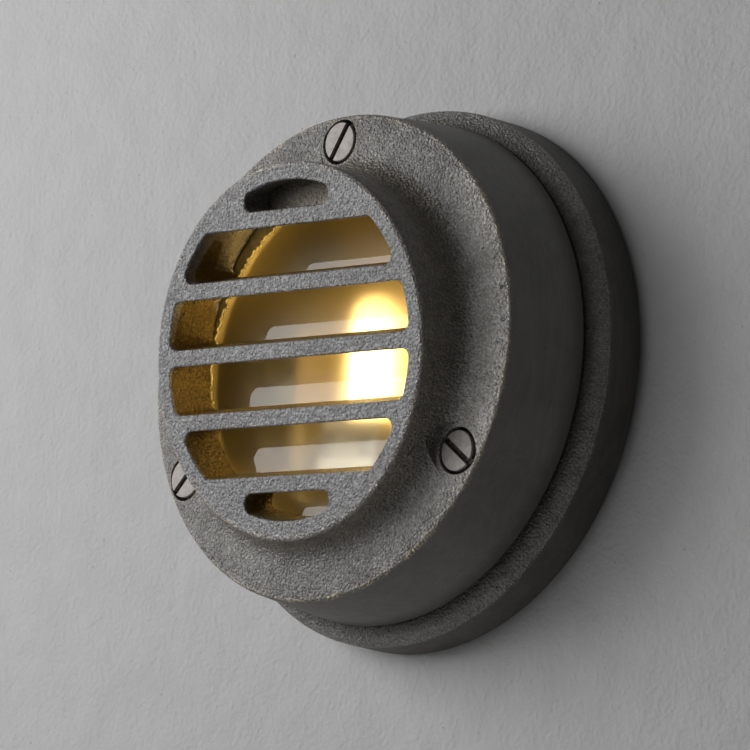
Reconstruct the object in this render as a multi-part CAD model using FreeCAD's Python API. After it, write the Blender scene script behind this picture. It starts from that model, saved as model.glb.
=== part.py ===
import FreeCAD, Part

import math
import os

# A round step light for a wall, in millimetres.
# The wall is the plane Y = 0, the light looks along -Y and +Z is up.
# A projection is a distance out from the wall, towards -Y.

# Back plate with its flange
flange_radius = 60.0
flange_thickness = 12.8
flange_side_draft = 0.2
flange_crown_radius = 5.1
flange_crown_degrees = 70.0
flange_corner_radius = 0.3
flange_corner_run = 0.2
back_edge_chamfer = 0.5
plate_floor = 5.0
back_rim_width = 8.0
cavity_corner_radius = 2.0
pad_wall = 3.9
blind_end = 1.0
spigot_height = 3.0
spigot_width = 2.2
spigot_gap = 0.5
spigot_boss_gap = 0.8
wall_hole_inset = 10.6
wall_hole_radius = 2.5
wall_hole_wall = 3.0

# Wall gasket, let in flush behind the flange
wall_gasket_width = 3.4
wall_gasket_depth = 2.0
wall_gasket_land = 2.8

# Front shell
flange_step = 4.3
shell_draft = 2.2
shell_wall = 4.0
ring_projection = 34.8
ring_thickness = 4.7
ring_crown_radius = 16.0
ring_crown_degrees = 16.0
ring_edge_radius = 0.9
ring_edge_run = 0.7
inner_edge_radius = 2.5
boss_wall = 2.85

# Seal between shell and flange
seal_thickness = 0.8
seal_inner_inset = 0.4
seal_outer_inset = 0.9

# Louvred face on its neck, leaning down
face_rise = 11.8
face_drop = 0.9
face_tilt_degrees = 7.4
neck_wall = 3.9
neck_fillet_radius = 6.0
face_edge_radius = 0.9
slot_inset = 4.6
slot_edge_radius = 0.4
slots_each_way = 2
tunnel_slope_degrees = 17.5
blind_slot_depth = 8.0

# Louvre sizes as shares of the circle that bounds the slots
bar_height_share = 0.0984
slot_height_share = 0.2923
slot_corner_share = 0.0546
end_slot_half_width_share = 0.35

# Cover screws and their sealing washers
screw_count = 3
screw_inset = 8.1
screw_clocking_degrees = 1.7
screw_radius = 2.5
screw_length = 29.4
screw_tip_chamfer = 0.6
screw_head_radius = 4.35
screw_head_height = 3.3
screw_head_edge = 0.25
screw_head_proud = 0.1
screw_slot_width = 1.4
screw_slot_depth = 1.6
screw_hole_clearance = 0.25
counterbore_gap = 0.75
spotface_gap = 1.9
washer_thickness = 0.8
washer_bore_clearance = 0.1
washer_overhang = 0.4

# Lens, its gaskets and the ring that clamps them
seat_below_ring = 0.6
recess_wall = 1.3
lens_thickness = 4.0
lens_edge_chamfer = 0.4
lens_clearance = 0.2
front_gasket_thickness = 0.6
front_gasket_width = 4.1
rear_gasket_thickness = 0.8
rear_gasket_width = 1.5
clamp_ring_thickness = 1.5
clamp_ring_width = 1.7
clamp_ear_radius = 3.6
clamp_ear_reach = 3.8
clamp_screw_count = 3
clamp_screw_radius = 1.5
clamp_screw_length = 5.0
clamp_screw_end_gap = 0.3
clamp_boss_wall = 1.9

# Small screws share one head form
head_radius_share = 1.85
head_height_share = 1.15
head_slot_width_share = 0.45
head_slot_depth_share = 0.55

# Plug-in capsule lamp, upright on the axis
bulb_radius = 4.75
bulb_bottom = -4.0
bulb_top = 16.0
bulb_wall = 0.8
bulb_shoulder_radius = 2.0
bulb_dome_radius = 4.3
pinch_width = 8.4
pinch_depth = 3.2
pinch_height = 8.0
pinch_edge_radius = 0.6
pin_spacing = 4.0
pin_radius = 0.35
pin_length = 7.0
filament_height = 6.0
filament_radius = 0.7
filament_leg_radius = 0.25

# Lamp holder and its contacts
holder_width = 17.0
holder_depth = 10.6
holder_height = 12.0
holder_edge_radius = 0.8
holder_lip = 0.8
contact_radius = 1.0
contact_length = 8.2
pin_clearance = 0.07
pin_mouth_radius = 0.6
holder_screw_spacing = 11.8
holder_screw_radius = 1.25
holder_screw_sink = 2.2
holder_screw_bite = 3.6

# Terminal block for two wires, left of the lamp
block_inset = 24.7
block_width = 19.0
block_depth = 11.0
block_height = 18.0
block_edge_radius = 0.6
way_spacing = 10.0
insert_rise = 4.2
insert_radius = 2.2
insert_bore_radius = 1.4
insert_length = 15.0
terminal_screw_radius = 1.25
terminal_screw_length = 3.6
terminal_screw_spacing = 8.0
well_gap = 0.35
block_screw_radius = 1.5
block_screw_sink = 3.0
block_screw_bite = 4.0
block_screw_clearance = 0.15

# Leads from the terminal block to the lamp holder
lead_radius = 0.8
near_lead_drop = 6.0
far_lead_drop = 9.5
lead_wire_reach = 8.0
lead_bend_share = 0.45

# Rubber bush for the supply cable
grommet_angle_degrees = 132.7
grommet_circle_share = 0.68
grommet_bore_radius = 3.1
grommet_hole_radius = 5.25
grommet_flange_overlap = 1.8
grommet_flange_thickness = 1.5

# Clearance of drawn fits and threads, and one overrun for all cuts
fit_clearance = 0.05
overrun = 5.0

# How near counts as in one plane, and how straight as parallel
plane_tolerance = 0.05
parallel_share = 0.05

# Worked out from the values above
shell_foot_radius = flange_radius - flange_step
ring_radius = shell_foot_radius - shell_draft
shell_inner_radius = shell_foot_radius - shell_wall
foot_projection = flange_thickness + seal_thickness
ring_underside = ring_projection - ring_thickness
flange_slope = math.radians(flange_crown_degrees)
flange_crown_run = flange_crown_radius * math.tan(flange_slope / 2) + flange_corner_run
lip_radius = flange_radius - flange_side_draft
lip_projection = flange_thickness - flange_crown_run * math.sin(flange_slope)
flange_shoulder_radius = lip_radius - flange_crown_run * math.cos(flange_slope)
ring_slope = math.radians(ring_crown_degrees)
ring_crown_run = ring_crown_radius * math.tan(ring_slope / 2) + ring_edge_run
ring_edge_projection = ring_projection - ring_crown_run * math.sin(ring_slope)
ring_shoulder_radius = ring_radius - ring_crown_run * math.cos(ring_slope)
back_cavity_radius = flange_radius - back_rim_width
cavity_projection = flange_thickness - plate_floor
screw_circle_radius = shell_foot_radius - screw_inset
wall_hole_spacing = 2 * (screw_circle_radius - wall_hole_inset)
grommet_circle_radius = grommet_circle_share * back_cavity_radius
grommet_x = grommet_circle_radius * math.cos(math.radians(grommet_angle_degrees))
grommet_z = grommet_circle_radius * math.sin(math.radians(grommet_angle_degrees))
screw_hole_radius = screw_radius + screw_hole_clearance
thread_radius = screw_radius + fit_clearance
boss_radius = screw_hole_radius + boss_wall
counterbore_radius = screw_head_radius + counterbore_gap
spotface_radius = screw_head_radius + spotface_gap
head_top = ring_projection + screw_head_proud
head_underside = head_top - screw_head_height
washer_seat = head_underside - washer_thickness
recess_radius = screw_circle_radius - counterbore_radius - recess_wall
lens_radius = recess_radius - lens_clearance
seat_projection = ring_projection - seat_below_ring
lens_front = seat_projection - front_gasket_thickness
lens_back = lens_front - lens_thickness
clamp_seat = lens_back - rear_gasket_thickness
clamp_back = clamp_seat - clamp_ring_thickness
clamp_ring_radius = recess_radius + fit_clearance
clamp_circle_radius = clamp_ring_radius + clamp_ear_reach
clamp_boss_radius = clamp_screw_radius + clamp_boss_wall
slot_circle_radius = recess_radius - slot_inset
neck_radius = slot_circle_radius + neck_wall
bar_height = bar_height_share * slot_circle_radius
slot_height = slot_height_share * slot_circle_radius
slot_corner_radius = slot_corner_share * slot_circle_radius
end_slot_half_width = end_slot_half_width_share * slot_circle_radius
face_projection = ring_projection + face_rise
slot_pitch = bar_height + slot_height
lamp_projection = flange_thickness + holder_depth / 2
holder_top = bulb_bottom - pinch_height
holder_bottom = holder_top - holder_height
contact_bottom = holder_top - holder_lip - contact_length
insert_projection = flange_thickness + insert_rise
block_centre_x = block_inset - shell_inner_radius

tilt = math.radians(face_tilt_degrees)
slope = math.radians(tunnel_slope_degrees)
outward = FreeCAD.Vector(0, -1, 0)
inward = FreeCAD.Vector(0, 1, 0)
up = FreeCAD.Vector(0, 0, 1)
down = FreeCAD.Vector(0, 0, -1)
across = FreeCAD.Vector(1, 0, 0)
face_normal = FreeCAD.Vector(0, -math.cos(tilt), -math.sin(tilt))
face_up = FreeCAD.Vector(0, -math.sin(tilt), math.cos(tilt))
tunnel_direction = FreeCAD.Vector(0, math.cos(slope), math.sin(slope))


def place(x, projection, z):
    """Point at a place on the face of the wall and a projection out from it."""
    return FreeCAD.Vector(x, -projection, z)


def on_circle(radius, index, count, start_degrees):
    """X and Z of one of count places spread evenly round the light's axis."""
    angle = math.radians(start_degrees + index * 360 / count)
    return radius * math.cos(angle), radius * math.sin(angle)


def rod(radius, base, length, direction):
    """Plain cylinder from a base point along a direction."""
    return Part.makeCylinder(radius, length, base, direction)


def drum(radius, start, end, x=0, z=0):
    """Cylinder square to the wall between two projections."""
    return rod(radius, place(x, start, z), end - start, outward)


def hoop(inner_radius, outer_radius, start, end, x=0, z=0):
    """Flat ring square to the wall between two projections."""
    hole = drum(inner_radius, start - overrun, end + overrun, x, z)
    return drum(outer_radius, start, end, x, z).cut(hole)


def block(x, start, z, width, depth, height):
    """Box centred at x, standing from the start projection, with its lower face at z."""
    return Part.makeBox(width, depth, height, place(x - width / 2, start + depth, z))


def rounded_wire(corners, origin, direction):
    """Closed outline through corners of (radius, height, rounding), radius along +X from the axis."""
    points = [origin + across * radius + direction * height for radius, height, rounding in corners]
    spans = []
    for index, corner in enumerate(corners):
        point = points[index]
        before = points[index - 1] - point
        after = points[(index + 1) % len(points)] - point
        before.normalize()
        after.normalize()
        rounding = corner[2]
        if rounding == 0:
            spans.append((point, point, point))
            continue
        half = before.getAngle(after) / 2
        middle = before + after
        middle.normalize()
        reach = rounding / math.tan(half)
        depth = rounding / math.sin(half) - rounding
        spans.append((point + before * reach, point + middle * depth, point + after * reach))
    edges = []
    for index, (start, middle, end) in enumerate(spans):
        last = spans[index - 1][2]
        if not last.isEqual(start, Part.Vertex(start).Tolerance):
            edges.append(Part.LineSegment(last, start).toShape())
        if corners[index][2] > 0:
            edges.append(Part.Arc(start, middle, end).toShape())
    return Part.Wire(edges)


def turned(corners, origin, direction):
    """Solid turned about an axis through origin from an outline that touches the axis."""
    face = Part.Face(rounded_wire(corners, origin, direction))
    return face.revolve(origin, direction, 360)


def one_solid(shape):
    """Single solid of a shape, with its seams cleaned."""
    cleaned = shape.removeSplitter()
    return cleaned.Solids[0] if len(cleaned.Solids) == 1 else cleaned


def turned_slot(shape, centre, direction, width, depth, length, degrees=0):
    """Shape with a screwdriver slot cut into the face at centre, square to direction."""
    cutter = Part.makeBox(length, width, depth + overrun)
    cutter.translate(FreeCAD.Vector(-length / 2, -width / 2, -depth))
    cutter.rotate(FreeCAD.Vector(0, 0, 0), up, degrees)
    cutter.Placement = FreeCAD.Placement(centre, FreeCAD.Rotation(up, direction)).multiply(cutter.Placement)
    return shape.cut(cutter)


def small_screw(radius, seat, length, direction):
    """Slotted pan-head screw with its head's underside at seat and its shank along direction."""
    head_radius = radius * head_radius_share
    head_height = radius * head_height_share
    top = seat - direction * head_height
    head = rod(head_radius, seat, head_height, direction * -1)
    head = head.makeFillet(head_height / 2, [edge_at(head, top)])
    screw = head.fuse(rod(radius, seat, length, direction))
    slot_width = radius * head_slot_width_share
    slot_depth = radius * head_slot_depth_share
    return one_solid(turned_slot(screw, top, direction * -1, slot_width, slot_depth, head_radius * 3))


def edge_at(shape, centre):
    """Circular edge of a shape nearest to a centre."""
    circles = [edge for edge in shape.Edges if isinstance(edge.Curve, Part.Circle)]
    return min(circles, key=lambda edge: edge.Curve.Center.distanceToPoint(centre))


def screw_places(radius):
    """X and Z of the cover screws: top, right and left."""
    start = 90 + screw_clocking_degrees
    return [on_circle(radius, -index, screw_count, start) for index in range(screw_count)]


def clamp_places():
    """X and Z of the clamp screws, half way between the cover screws."""
    start = 90 + screw_clocking_degrees + 180 / clamp_screw_count
    return [on_circle(clamp_circle_radius, index, clamp_screw_count, start) for index in range(clamp_screw_count)]


def wall_hole_places():
    """X and Z of the two holes for the wall screws."""
    return [(0, wall_hole_spacing / 2), (0, -wall_hole_spacing / 2)]


def holder_screw_places():
    """X and Z of the two screws that hold the lamp holder."""
    z = holder_bottom + holder_height / 2
    return [(-holder_screw_spacing / 2, z), (holder_screw_spacing / 2, z)]


def way_places():
    """X of the two ways of the terminal block, the near one first."""
    return [block_centre_x + way_spacing / 2, block_centre_x - way_spacing / 2]


def base_plate():
    """Cast back plate: flange, floor, screw pads, wall-screw bosses and locating ribs."""
    outline = [
        (0, cavity_projection, 0),
        (back_cavity_radius, cavity_projection, cavity_corner_radius),
        (back_cavity_radius, 0, 0),
        (flange_radius - back_edge_chamfer, 0, 0),
        (flange_radius, back_edge_chamfer, 0),
        (lip_radius, lip_projection, flange_corner_radius),
        (flange_shoulder_radius, flange_thickness, flange_crown_radius),
        (0, flange_thickness, 0),
    ]
    plate = turned(outline, place(0, 0, 0), outward)
    groove_start = back_cavity_radius + wall_gasket_land
    groove_end = groove_start + wall_gasket_width
    spigot_outer = shell_inner_radius - spigot_gap
    spigot_top = flange_thickness + spigot_height
    additions = []
    rib = hoop(spigot_outer - spigot_width, spigot_outer, cavity_projection + plate_floor / 2, spigot_top)
    for x, z in screw_places(screw_circle_radius):
        additions.append(drum(thread_radius + pad_wall, 0, flange_thickness, x, z))
        rib = rib.cut(drum(boss_radius + spigot_boss_gap, flange_thickness, spigot_top + overrun, x, z))
    for x, z in wall_hole_places():
        additions.append(drum(wall_hole_radius + wall_hole_wall, 0, flange_thickness, x, z))
    plate = plate.fuse(additions + [rib])
    cuts = [hoop(groove_start, groove_end, -overrun, wall_gasket_depth)]
    thread_end = head_underside - screw_length - blind_end
    for x, z in screw_places(screw_circle_radius):
        cuts.append(drum(thread_radius, thread_end, flange_thickness + overrun, x, z))
    for x, z in wall_hole_places():
        cuts.append(drum(wall_hole_radius, -overrun, flange_thickness + overrun, x, z))
    for x, z in holder_screw_places():
        depth = holder_screw_bite + blind_end / 2
        tapped = holder_screw_radius + fit_clearance
        cuts.append(drum(tapped, flange_thickness - depth, flange_thickness + overrun, x, z))
    block_tapped = block_screw_radius + fit_clearance
    block_depth = block_screw_bite + blind_end / 2
    cuts.append(drum(block_tapped, flange_thickness - block_depth, flange_thickness + overrun, block_centre_x, 0))
    cuts.append(drum(grommet_hole_radius, -overrun, flange_thickness + overrun, grommet_x, grommet_z))
    return one_solid(plate.cut(cuts))


def wall_gasket():
    """Gasket strip let into the back of the flange, flush with it."""
    inner = back_cavity_radius + wall_gasket_land + fit_clearance
    outer = back_cavity_radius + wall_gasket_land + wall_gasket_width - fit_clearance
    return hoop(inner, outer, 0, wall_gasket_depth)


def shell_seal():
    """Flat seal that the shell's foot presses on the flange."""
    return hoop(
        shell_inner_radius + seal_inner_inset,
        shell_foot_radius - seal_outer_inset,
        flange_thickness,
        foot_projection,
    )


def face_point(x, height):
    """Point on the leaning louvred face, from its centre."""
    return place(0, face_projection, -face_drop) + across * x + face_up * height


def tunnel(low, high, half_width, length):
    """Louvre opening with rounded corners, cut back and up from the face."""
    corners = [(-half_width, low), (half_width, low), (half_width, high), (-half_width, high)]
    points = [face_point(x, height) for x, height in corners]
    band = Part.Face(Part.makePolygon(points + [points[0]]))
    circle = Part.Face(Part.Wire(Part.makeCircle(slot_circle_radius, face_point(0, 0), face_normal)))
    outline = band.common(circle).Faces[0]
    outline.translate(tunnel_direction * -overrun)
    opening = outline.extrude(tunnel_direction * (length + overrun))
    sides = []
    for edge in opening.Edges:
        run = edge.lastVertex().Point - edge.firstVertex().Point
        if run.Length > 0 and run.cross(tunnel_direction).Length < parallel_share * run.Length:
            sides.append(edge)
    return opening.makeFillet(slot_corner_radius, sides)


def louvres():
    """All louvre openings: two wide ones each way, a short one below and a blind one at the top."""
    through = face_rise + 2 * overrun
    behind_face = drum(recess_radius, seat_projection - front_gasket_thickness, face_projection + 4 * overrun)
    openings = []
    for step in range(slots_each_way):
        low = bar_height / 2 + step * slot_pitch
        high = low + slot_height
        for bottom, top in ((low, high), (-high, -low)):
            openings.append(tunnel(bottom, top, slot_circle_radius, through).common(behind_face))
    end_low = bar_height / 2 + slots_each_way * slot_pitch
    end_high = slot_circle_radius + bar_height
    openings.append(tunnel(-end_high, -end_low, end_slot_half_width, through).common(behind_face))
    openings.append(tunnel(end_low, end_high, end_slot_half_width, blind_slot_depth))
    return openings


def on_face(edge):
    """True where an edge lies in the plane of the louvred face."""
    centre = face_point(0, 0)
    points = edge.discretize(5)
    return all(abs((point - centre).dot(face_normal)) < plane_tolerance for point in points)


def neck():
    """Neck and its concave foot, cut off by the leaning face."""
    reach = neck_radius + neck_fillet_radius
    top = face_projection + reach * math.tan(tilt) + overrun
    outline = [
        (0, ring_underside, 0),
        (reach, ring_underside, 0),
        (reach, ring_projection, 0),
        (neck_radius, ring_projection, neck_fillet_radius),
        (neck_radius, top, 0),
        (0, top, 0),
    ]
    body = turned(outline, place(0, 0, -face_drop), outward)
    ahead = rod(flange_radius, face_point(0, 0), flange_radius, face_normal)
    body = body.cut(ahead)
    return body.makeFillet(face_edge_radius, [edge for edge in body.Edges if on_face(edge)])


def front_shell():
    """Cast shell: side wall, ring face, screw bosses, neck and louvred face in one."""
    outside = [
        (0, foot_projection, 0),
        (shell_foot_radius, foot_projection, 0),
        (ring_radius, ring_edge_projection, ring_edge_radius),
        (ring_shoulder_radius, ring_projection, ring_crown_radius),
        (0, ring_projection, 0),
    ]
    inside = [
        (0, foot_projection - overrun, 0),
        (shell_inner_radius, foot_projection - overrun, 0),
        (shell_inner_radius, foot_projection, 0),
        (ring_radius - shell_wall, ring_underside, inner_edge_radius),
        (0, ring_underside, 0),
    ]
    origin = place(0, 0, 0)
    shell = turned(outside, origin, outward).fuse(neck())
    shell = shell.cut(turned(inside, origin, outward))
    additions = []
    cuts = [
        drum(recess_radius, ring_underside - overrun, seat_projection),
        hoop(shell_inner_radius, flange_radius, flange_thickness - overrun, foot_projection),
    ]
    for x, z in screw_places(screw_circle_radius):
        additions.append(drum(boss_radius, flange_thickness, washer_seat, x, z))
        cuts.append(drum(screw_hole_radius, flange_thickness - overrun, ring_projection, x, z))
        cuts.append(drum(counterbore_radius, washer_seat, face_projection + overrun, x, z))
        cuts.append(drum(spotface_radius, ring_projection, face_projection + overrun, x, z))
    for x, z in clamp_places():
        additions.append(drum(clamp_boss_radius, clamp_seat, ring_projection - ring_thickness / 2, x, z))
        tapped = clamp_screw_radius + fit_clearance
        end = clamp_back + clamp_screw_length + clamp_screw_end_gap
        cuts.append(drum(tapped, clamp_seat - overrun, end, x, z))
    shell = shell.fuse(additions).cut(cuts).cut(louvres())
    shell = one_solid(shell)
    rims = []
    for edge in shell.Edges:
        middle = edge.discretize(3)[1] - face_point(0, 0)
        if on_face(edge) and middle.Length < slot_circle_radius + slot_edge_radius:
            rims.append(edge)
    return shell.makeFillet(slot_edge_radius, rims)


def lens():
    """Glass disc with a small ground edge."""
    outline = [
        (0, lens_back, 0),
        (lens_radius - lens_edge_chamfer, lens_back, 0),
        (lens_radius, lens_back + lens_edge_chamfer, 0),
        (lens_radius, lens_front - lens_edge_chamfer, 0),
        (lens_radius - lens_edge_chamfer, lens_front, 0),
        (0, lens_front, 0),
    ]
    return turned(outline, place(0, 0, 0), outward)


def lens_front_gasket():
    """Clear sealing ring between the glass and its seat, out to the edge of the openings."""
    return hoop(lens_radius - front_gasket_width, lens_radius, lens_front, seat_projection)


def lens_rear_gasket():
    """Gasket between the glass and the clamp ring."""
    return hoop(lens_radius - rear_gasket_width, lens_radius, clamp_seat, lens_back)


def lens_clamp_ring():
    """Flat ring with three screw ears that presses the glass on its seat."""
    ring = hoop(clamp_ring_radius - clamp_ring_width, clamp_ring_radius, clamp_back, clamp_seat)
    hole_radius = clamp_screw_radius + screw_hole_clearance
    for index, (x, z) in enumerate(clamp_places()):
        ear = drum(clamp_ear_radius, clamp_back, clamp_seat, x, z)
        strap = block(0, clamp_back, 0, 2 * clamp_ear_radius, clamp_ring_thickness, clamp_ear_reach + clamp_ring_width / 2)
        strap.translate(FreeCAD.Vector(0, 0, clamp_ring_radius - clamp_ring_width / 2))
        turn = math.degrees(math.atan2(z, x)) - 90
        strap.rotate(FreeCAD.Vector(0, 0, 0), outward, turn)
        ring = ring.fuse([ear, strap])
        ring = ring.cut(drum(hole_radius, clamp_back - overrun, clamp_seat + overrun, x, z))
    return one_solid(ring)


def clamp_ring_screws():
    """Three small screws that hold the clamp ring."""
    return [
        small_screw(clamp_screw_radius, place(x, clamp_back, z), clamp_screw_length, outward)
        for x, z in clamp_places()
    ]


def cover_screw(x, z, slot_degrees):
    """Slotted cheese-head screw that holds the shell to the back plate."""
    top = place(x, head_top, z)
    head = drum(screw_head_radius, head_underside, head_top, x, z)
    head = head.makeFillet(screw_head_edge, [edge_at(head, top)])
    shank = rod(screw_radius, place(x, head_underside, z), screw_length, inward)
    tip = place(x, head_underside - screw_length, z)
    shank = shank.makeChamfer(screw_tip_chamfer, [edge_at(shank, tip)])
    screw = head.fuse(shank)
    length = 3 * screw_head_radius
    cutter = block(0, head_top - screw_slot_depth, -screw_slot_width / 2, length, overrun, screw_slot_width)
    cutter.rotate(FreeCAD.Vector(0, 0, 0), outward, slot_degrees)
    cutter.translate(FreeCAD.Vector(x, 0, z))
    return one_solid(screw.cut(cutter))


def screw_washer(x, z):
    """Sealing washer under the head of a cover screw."""
    inner = screw_radius + washer_bore_clearance
    outer = screw_head_radius + washer_overhang
    return hoop(inner, outer, washer_seat, head_underside, x, z)


def lamp_capsule():
    """Hollow quartz bulb with its flat pinch."""
    origin = place(0, lamp_projection, 0)
    outer = [
        (0, bulb_bottom, 0),
        (bulb_radius, bulb_bottom, bulb_shoulder_radius),
        (bulb_radius, bulb_top, bulb_dome_radius),
        (0, bulb_top, 0),
    ]
    inner = [
        (0, bulb_bottom + bulb_wall, 0),
        (bulb_radius - bulb_wall, bulb_bottom + bulb_wall, bulb_shoulder_radius - bulb_wall),
        (bulb_radius - bulb_wall, bulb_top - bulb_wall, bulb_dome_radius - bulb_wall),
        (0, bulb_top - bulb_wall, 0),
    ]
    start = lamp_projection - pinch_depth / 2
    pinch = block(0, start, bulb_bottom - pinch_height, pinch_width, pinch_depth, pinch_height + bulb_wall / 2)
    edges = [edge for edge in pinch.Edges if edge.BoundBox.ZLength > pinch_height / 2]
    pinch = pinch.makeFillet(pinch_edge_radius, edges)
    body = turned(outer, origin, up).fuse(pinch)
    return one_solid(body.cut(turned(inner, origin, up)))


def lamp_filament():
    """Filament coil on its two legs."""
    side = pin_spacing / 2
    coil = rod(filament_radius, place(-side, lamp_projection, filament_height), pin_spacing, across)
    floor = bulb_bottom + bulb_wall
    legs = [
        rod(filament_leg_radius, place(x, lamp_projection, floor), filament_height - floor, up)
        for x in (-side + 2 * filament_leg_radius, side - 2 * filament_leg_radius)
    ]
    return one_solid(coil.fuse(legs))


def lamp_pins():
    """Two pins under the pinch of the lamp."""
    return [
        rod(pin_radius, place(x, lamp_projection, holder_top), pin_length, down)
        for x in (-pin_spacing / 2, pin_spacing / 2)
    ]


def lamp_holder():
    """Ceramic block that the lamp plugs into, screwed to the back plate."""
    body = block(0, flange_thickness, holder_bottom, holder_width, holder_depth, holder_height)
    body = body.makeFillet(holder_edge_radius, [edge for edge in body.Edges if edge.BoundBox.YLength > holder_depth / 2])
    cuts = []
    for x in (-pin_spacing / 2, pin_spacing / 2):
        bore_length = holder_height - holder_lip
        bottom = place(x, lamp_projection, holder_bottom)
        cuts.append(rod(contact_radius + fit_clearance, bottom, bore_length, up))
        cuts.append(rod(pin_mouth_radius, bottom, holder_height + overrun, up))
    seat = flange_thickness + holder_depth - holder_screw_sink
    sink_radius = holder_screw_radius * head_radius_share + screw_hole_clearance
    for x, z in holder_screw_places():
        cuts.append(drum(holder_screw_radius + screw_hole_clearance, flange_thickness - overrun, seat, x, z))
        cuts.append(drum(sink_radius, seat, seat + holder_screw_sink + overrun, x, z))
    return one_solid(body.cut(cuts))


def lamp_holder_contacts():
    """Two contact sleeves in the lamp holder."""
    sleeves = []
    for x in (-pin_spacing / 2, pin_spacing / 2):
        base = place(x, lamp_projection, contact_bottom)
        sleeve = rod(contact_radius, base, contact_length, up)
        sleeves.append(sleeve.cut(rod(pin_radius + pin_clearance, base, contact_length, up)))
    return sleeves


def holder_screws():
    """Two screws that hold the lamp holder."""
    seat = flange_thickness + holder_depth - holder_screw_sink
    length = seat - flange_thickness + holder_screw_bite
    return [small_screw(holder_screw_radius, place(x, seat, z), length, inward) for x, z in holder_screw_places()]


def terminal_block():
    """Insulating block with a through hole and two screw wells for each wire."""
    body = block(block_centre_x, flange_thickness, -block_height / 2, block_width, block_depth, block_height)
    front = flange_thickness + block_depth
    body = body.makeFillet(block_edge_radius, [edge for edge in body.Edges if edge.BoundBox.YLength > block_depth / 2])
    well_radius = terminal_screw_radius * head_radius_share + well_gap
    cuts = []
    for x in way_places():
        hole = rod(insert_radius + fit_clearance, place(x, insert_projection, -block_height / 2), block_height, up)
        cuts.append(hole)
        for z in (-terminal_screw_spacing / 2, terminal_screw_spacing / 2):
            cuts.append(drum(well_radius, insert_projection, front + overrun, x, z))
    seat = front - block_screw_sink
    sink_radius = block_screw_radius * head_radius_share + block_screw_clearance
    cuts.append(drum(block_screw_radius + block_screw_clearance, flange_thickness - overrun, seat, block_centre_x, 0))
    cuts.append(drum(sink_radius, seat, front + overrun, block_centre_x, 0))
    return one_solid(body.cut(cuts))


def terminal_inserts():
    """Two brass tubes in the terminal block, tapped for the clamping screws."""
    inserts = []
    for x in way_places():
        base = place(x, insert_projection, -insert_length / 2)
        tube = rod(insert_radius, base, insert_length, up)
        tube = tube.cut(rod(insert_bore_radius, base, insert_length, up))
        tapped = terminal_screw_radius + fit_clearance
        for z in (-terminal_screw_spacing / 2, terminal_screw_spacing / 2):
            tube = tube.cut(drum(tapped, insert_projection, insert_projection + insert_radius + overrun, x, z))
        inserts.append(one_solid(tube))
    return inserts


def terminal_screws():
    """Four screws that clamp the wires in the inserts."""
    tip = insert_projection + lead_radius + fit_clearance
    return [
        small_screw(terminal_screw_radius, place(x, tip + terminal_screw_length, z), terminal_screw_length, inward)
        for x in way_places()
        for z in (-terminal_screw_spacing / 2, terminal_screw_spacing / 2)
    ]


def terminal_block_screw():
    """Screw that holds the terminal block to the back plate."""
    seat = flange_thickness + block_depth - block_screw_sink
    length = seat - flange_thickness + block_screw_bite
    return small_screw(block_screw_radius, place(block_centre_x, seat, 0), length, inward)


def lead(points, label):
    """Round wire along straight runs joined by tangent arcs."""
    edges = []
    start = points[0]
    for index in range(1, len(points) - 1):
        corner = points[index]
        before = points[index - 1] - corner
        after = points[index + 1] - corner
        shorter = min(before.Length, after.Length)
        half_turn = (math.pi - before.getAngle(after)) / 2
        reach = lead_bend_share * shorter
        bend_radius = reach / math.tan(half_turn)
        before.normalize()
        after.normalize()
        middle = before + after
        middle.normalize()
        depth = bend_radius / math.cos(half_turn) - bend_radius
        edges.append(Part.LineSegment(start, corner + before * reach).toShape())
        edges.append(Part.Arc(corner + before * reach, corner + middle * depth, corner + after * reach).toShape())
        start = corner + after * reach
        print(label, "bend radius", round(bend_radius, 2))
    edges.append(Part.LineSegment(start, points[-1]).toShape())
    path = Part.Wire(edges)
    section = Part.Wire(Part.makeCircle(lead_radius, points[0], points[1] - points[0]))
    tube = path.makePipeShell([section], True, False)
    print(label, "volume share", round(tube.Volume / (math.pi * lead_radius ** 2 * path.Length), 4))
    return tube


def lamp_lead(way_x, pin_x, drop, label):
    """Lead from one way of the terminal block, down, across and up to one contact."""
    low = holder_bottom - drop
    points = [
        place(pin_x, lamp_projection, contact_bottom),
        place(pin_x, lamp_projection, low),
        place(way_x, insert_projection, low),
        place(way_x, insert_projection, -block_height / 2 + lead_wire_reach),
    ]
    return lead(points, label)


def cable_grommet():
    """Rubber bush in the plate's floor, with a bore for the supply cable."""
    neck_size = grommet_hole_radius - fit_clearance
    flange_size = grommet_hole_radius + grommet_flange_overlap
    back = cavity_projection - grommet_flange_thickness
    front = flange_thickness + grommet_flange_thickness
    parts = [
        drum(flange_size, back, cavity_projection, grommet_x, grommet_z),
        drum(flange_size, flange_thickness, front, grommet_x, grommet_z),
    ]
    body = drum(neck_size, back, front, grommet_x, grommet_z).fuse(parts)
    return one_solid(body.cut(drum(grommet_bore_radius, back - overrun, front + overrun, grommet_x, grommet_z)))


def write_node(name, shape):
    """Write one node, a solid or a group of separate solids, to its own file."""
    solids = shape if isinstance(shape, list) else [shape]
    whole = solids[0] if len(solids) == 1 else Part.makeCompound(solids)
    whole.exportStep("parts/" + name + ".step")
    print(name, "solids", len(whole.Solids), "valid", whole.isValid(), "volume", round(whole.Volume, 1))


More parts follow.
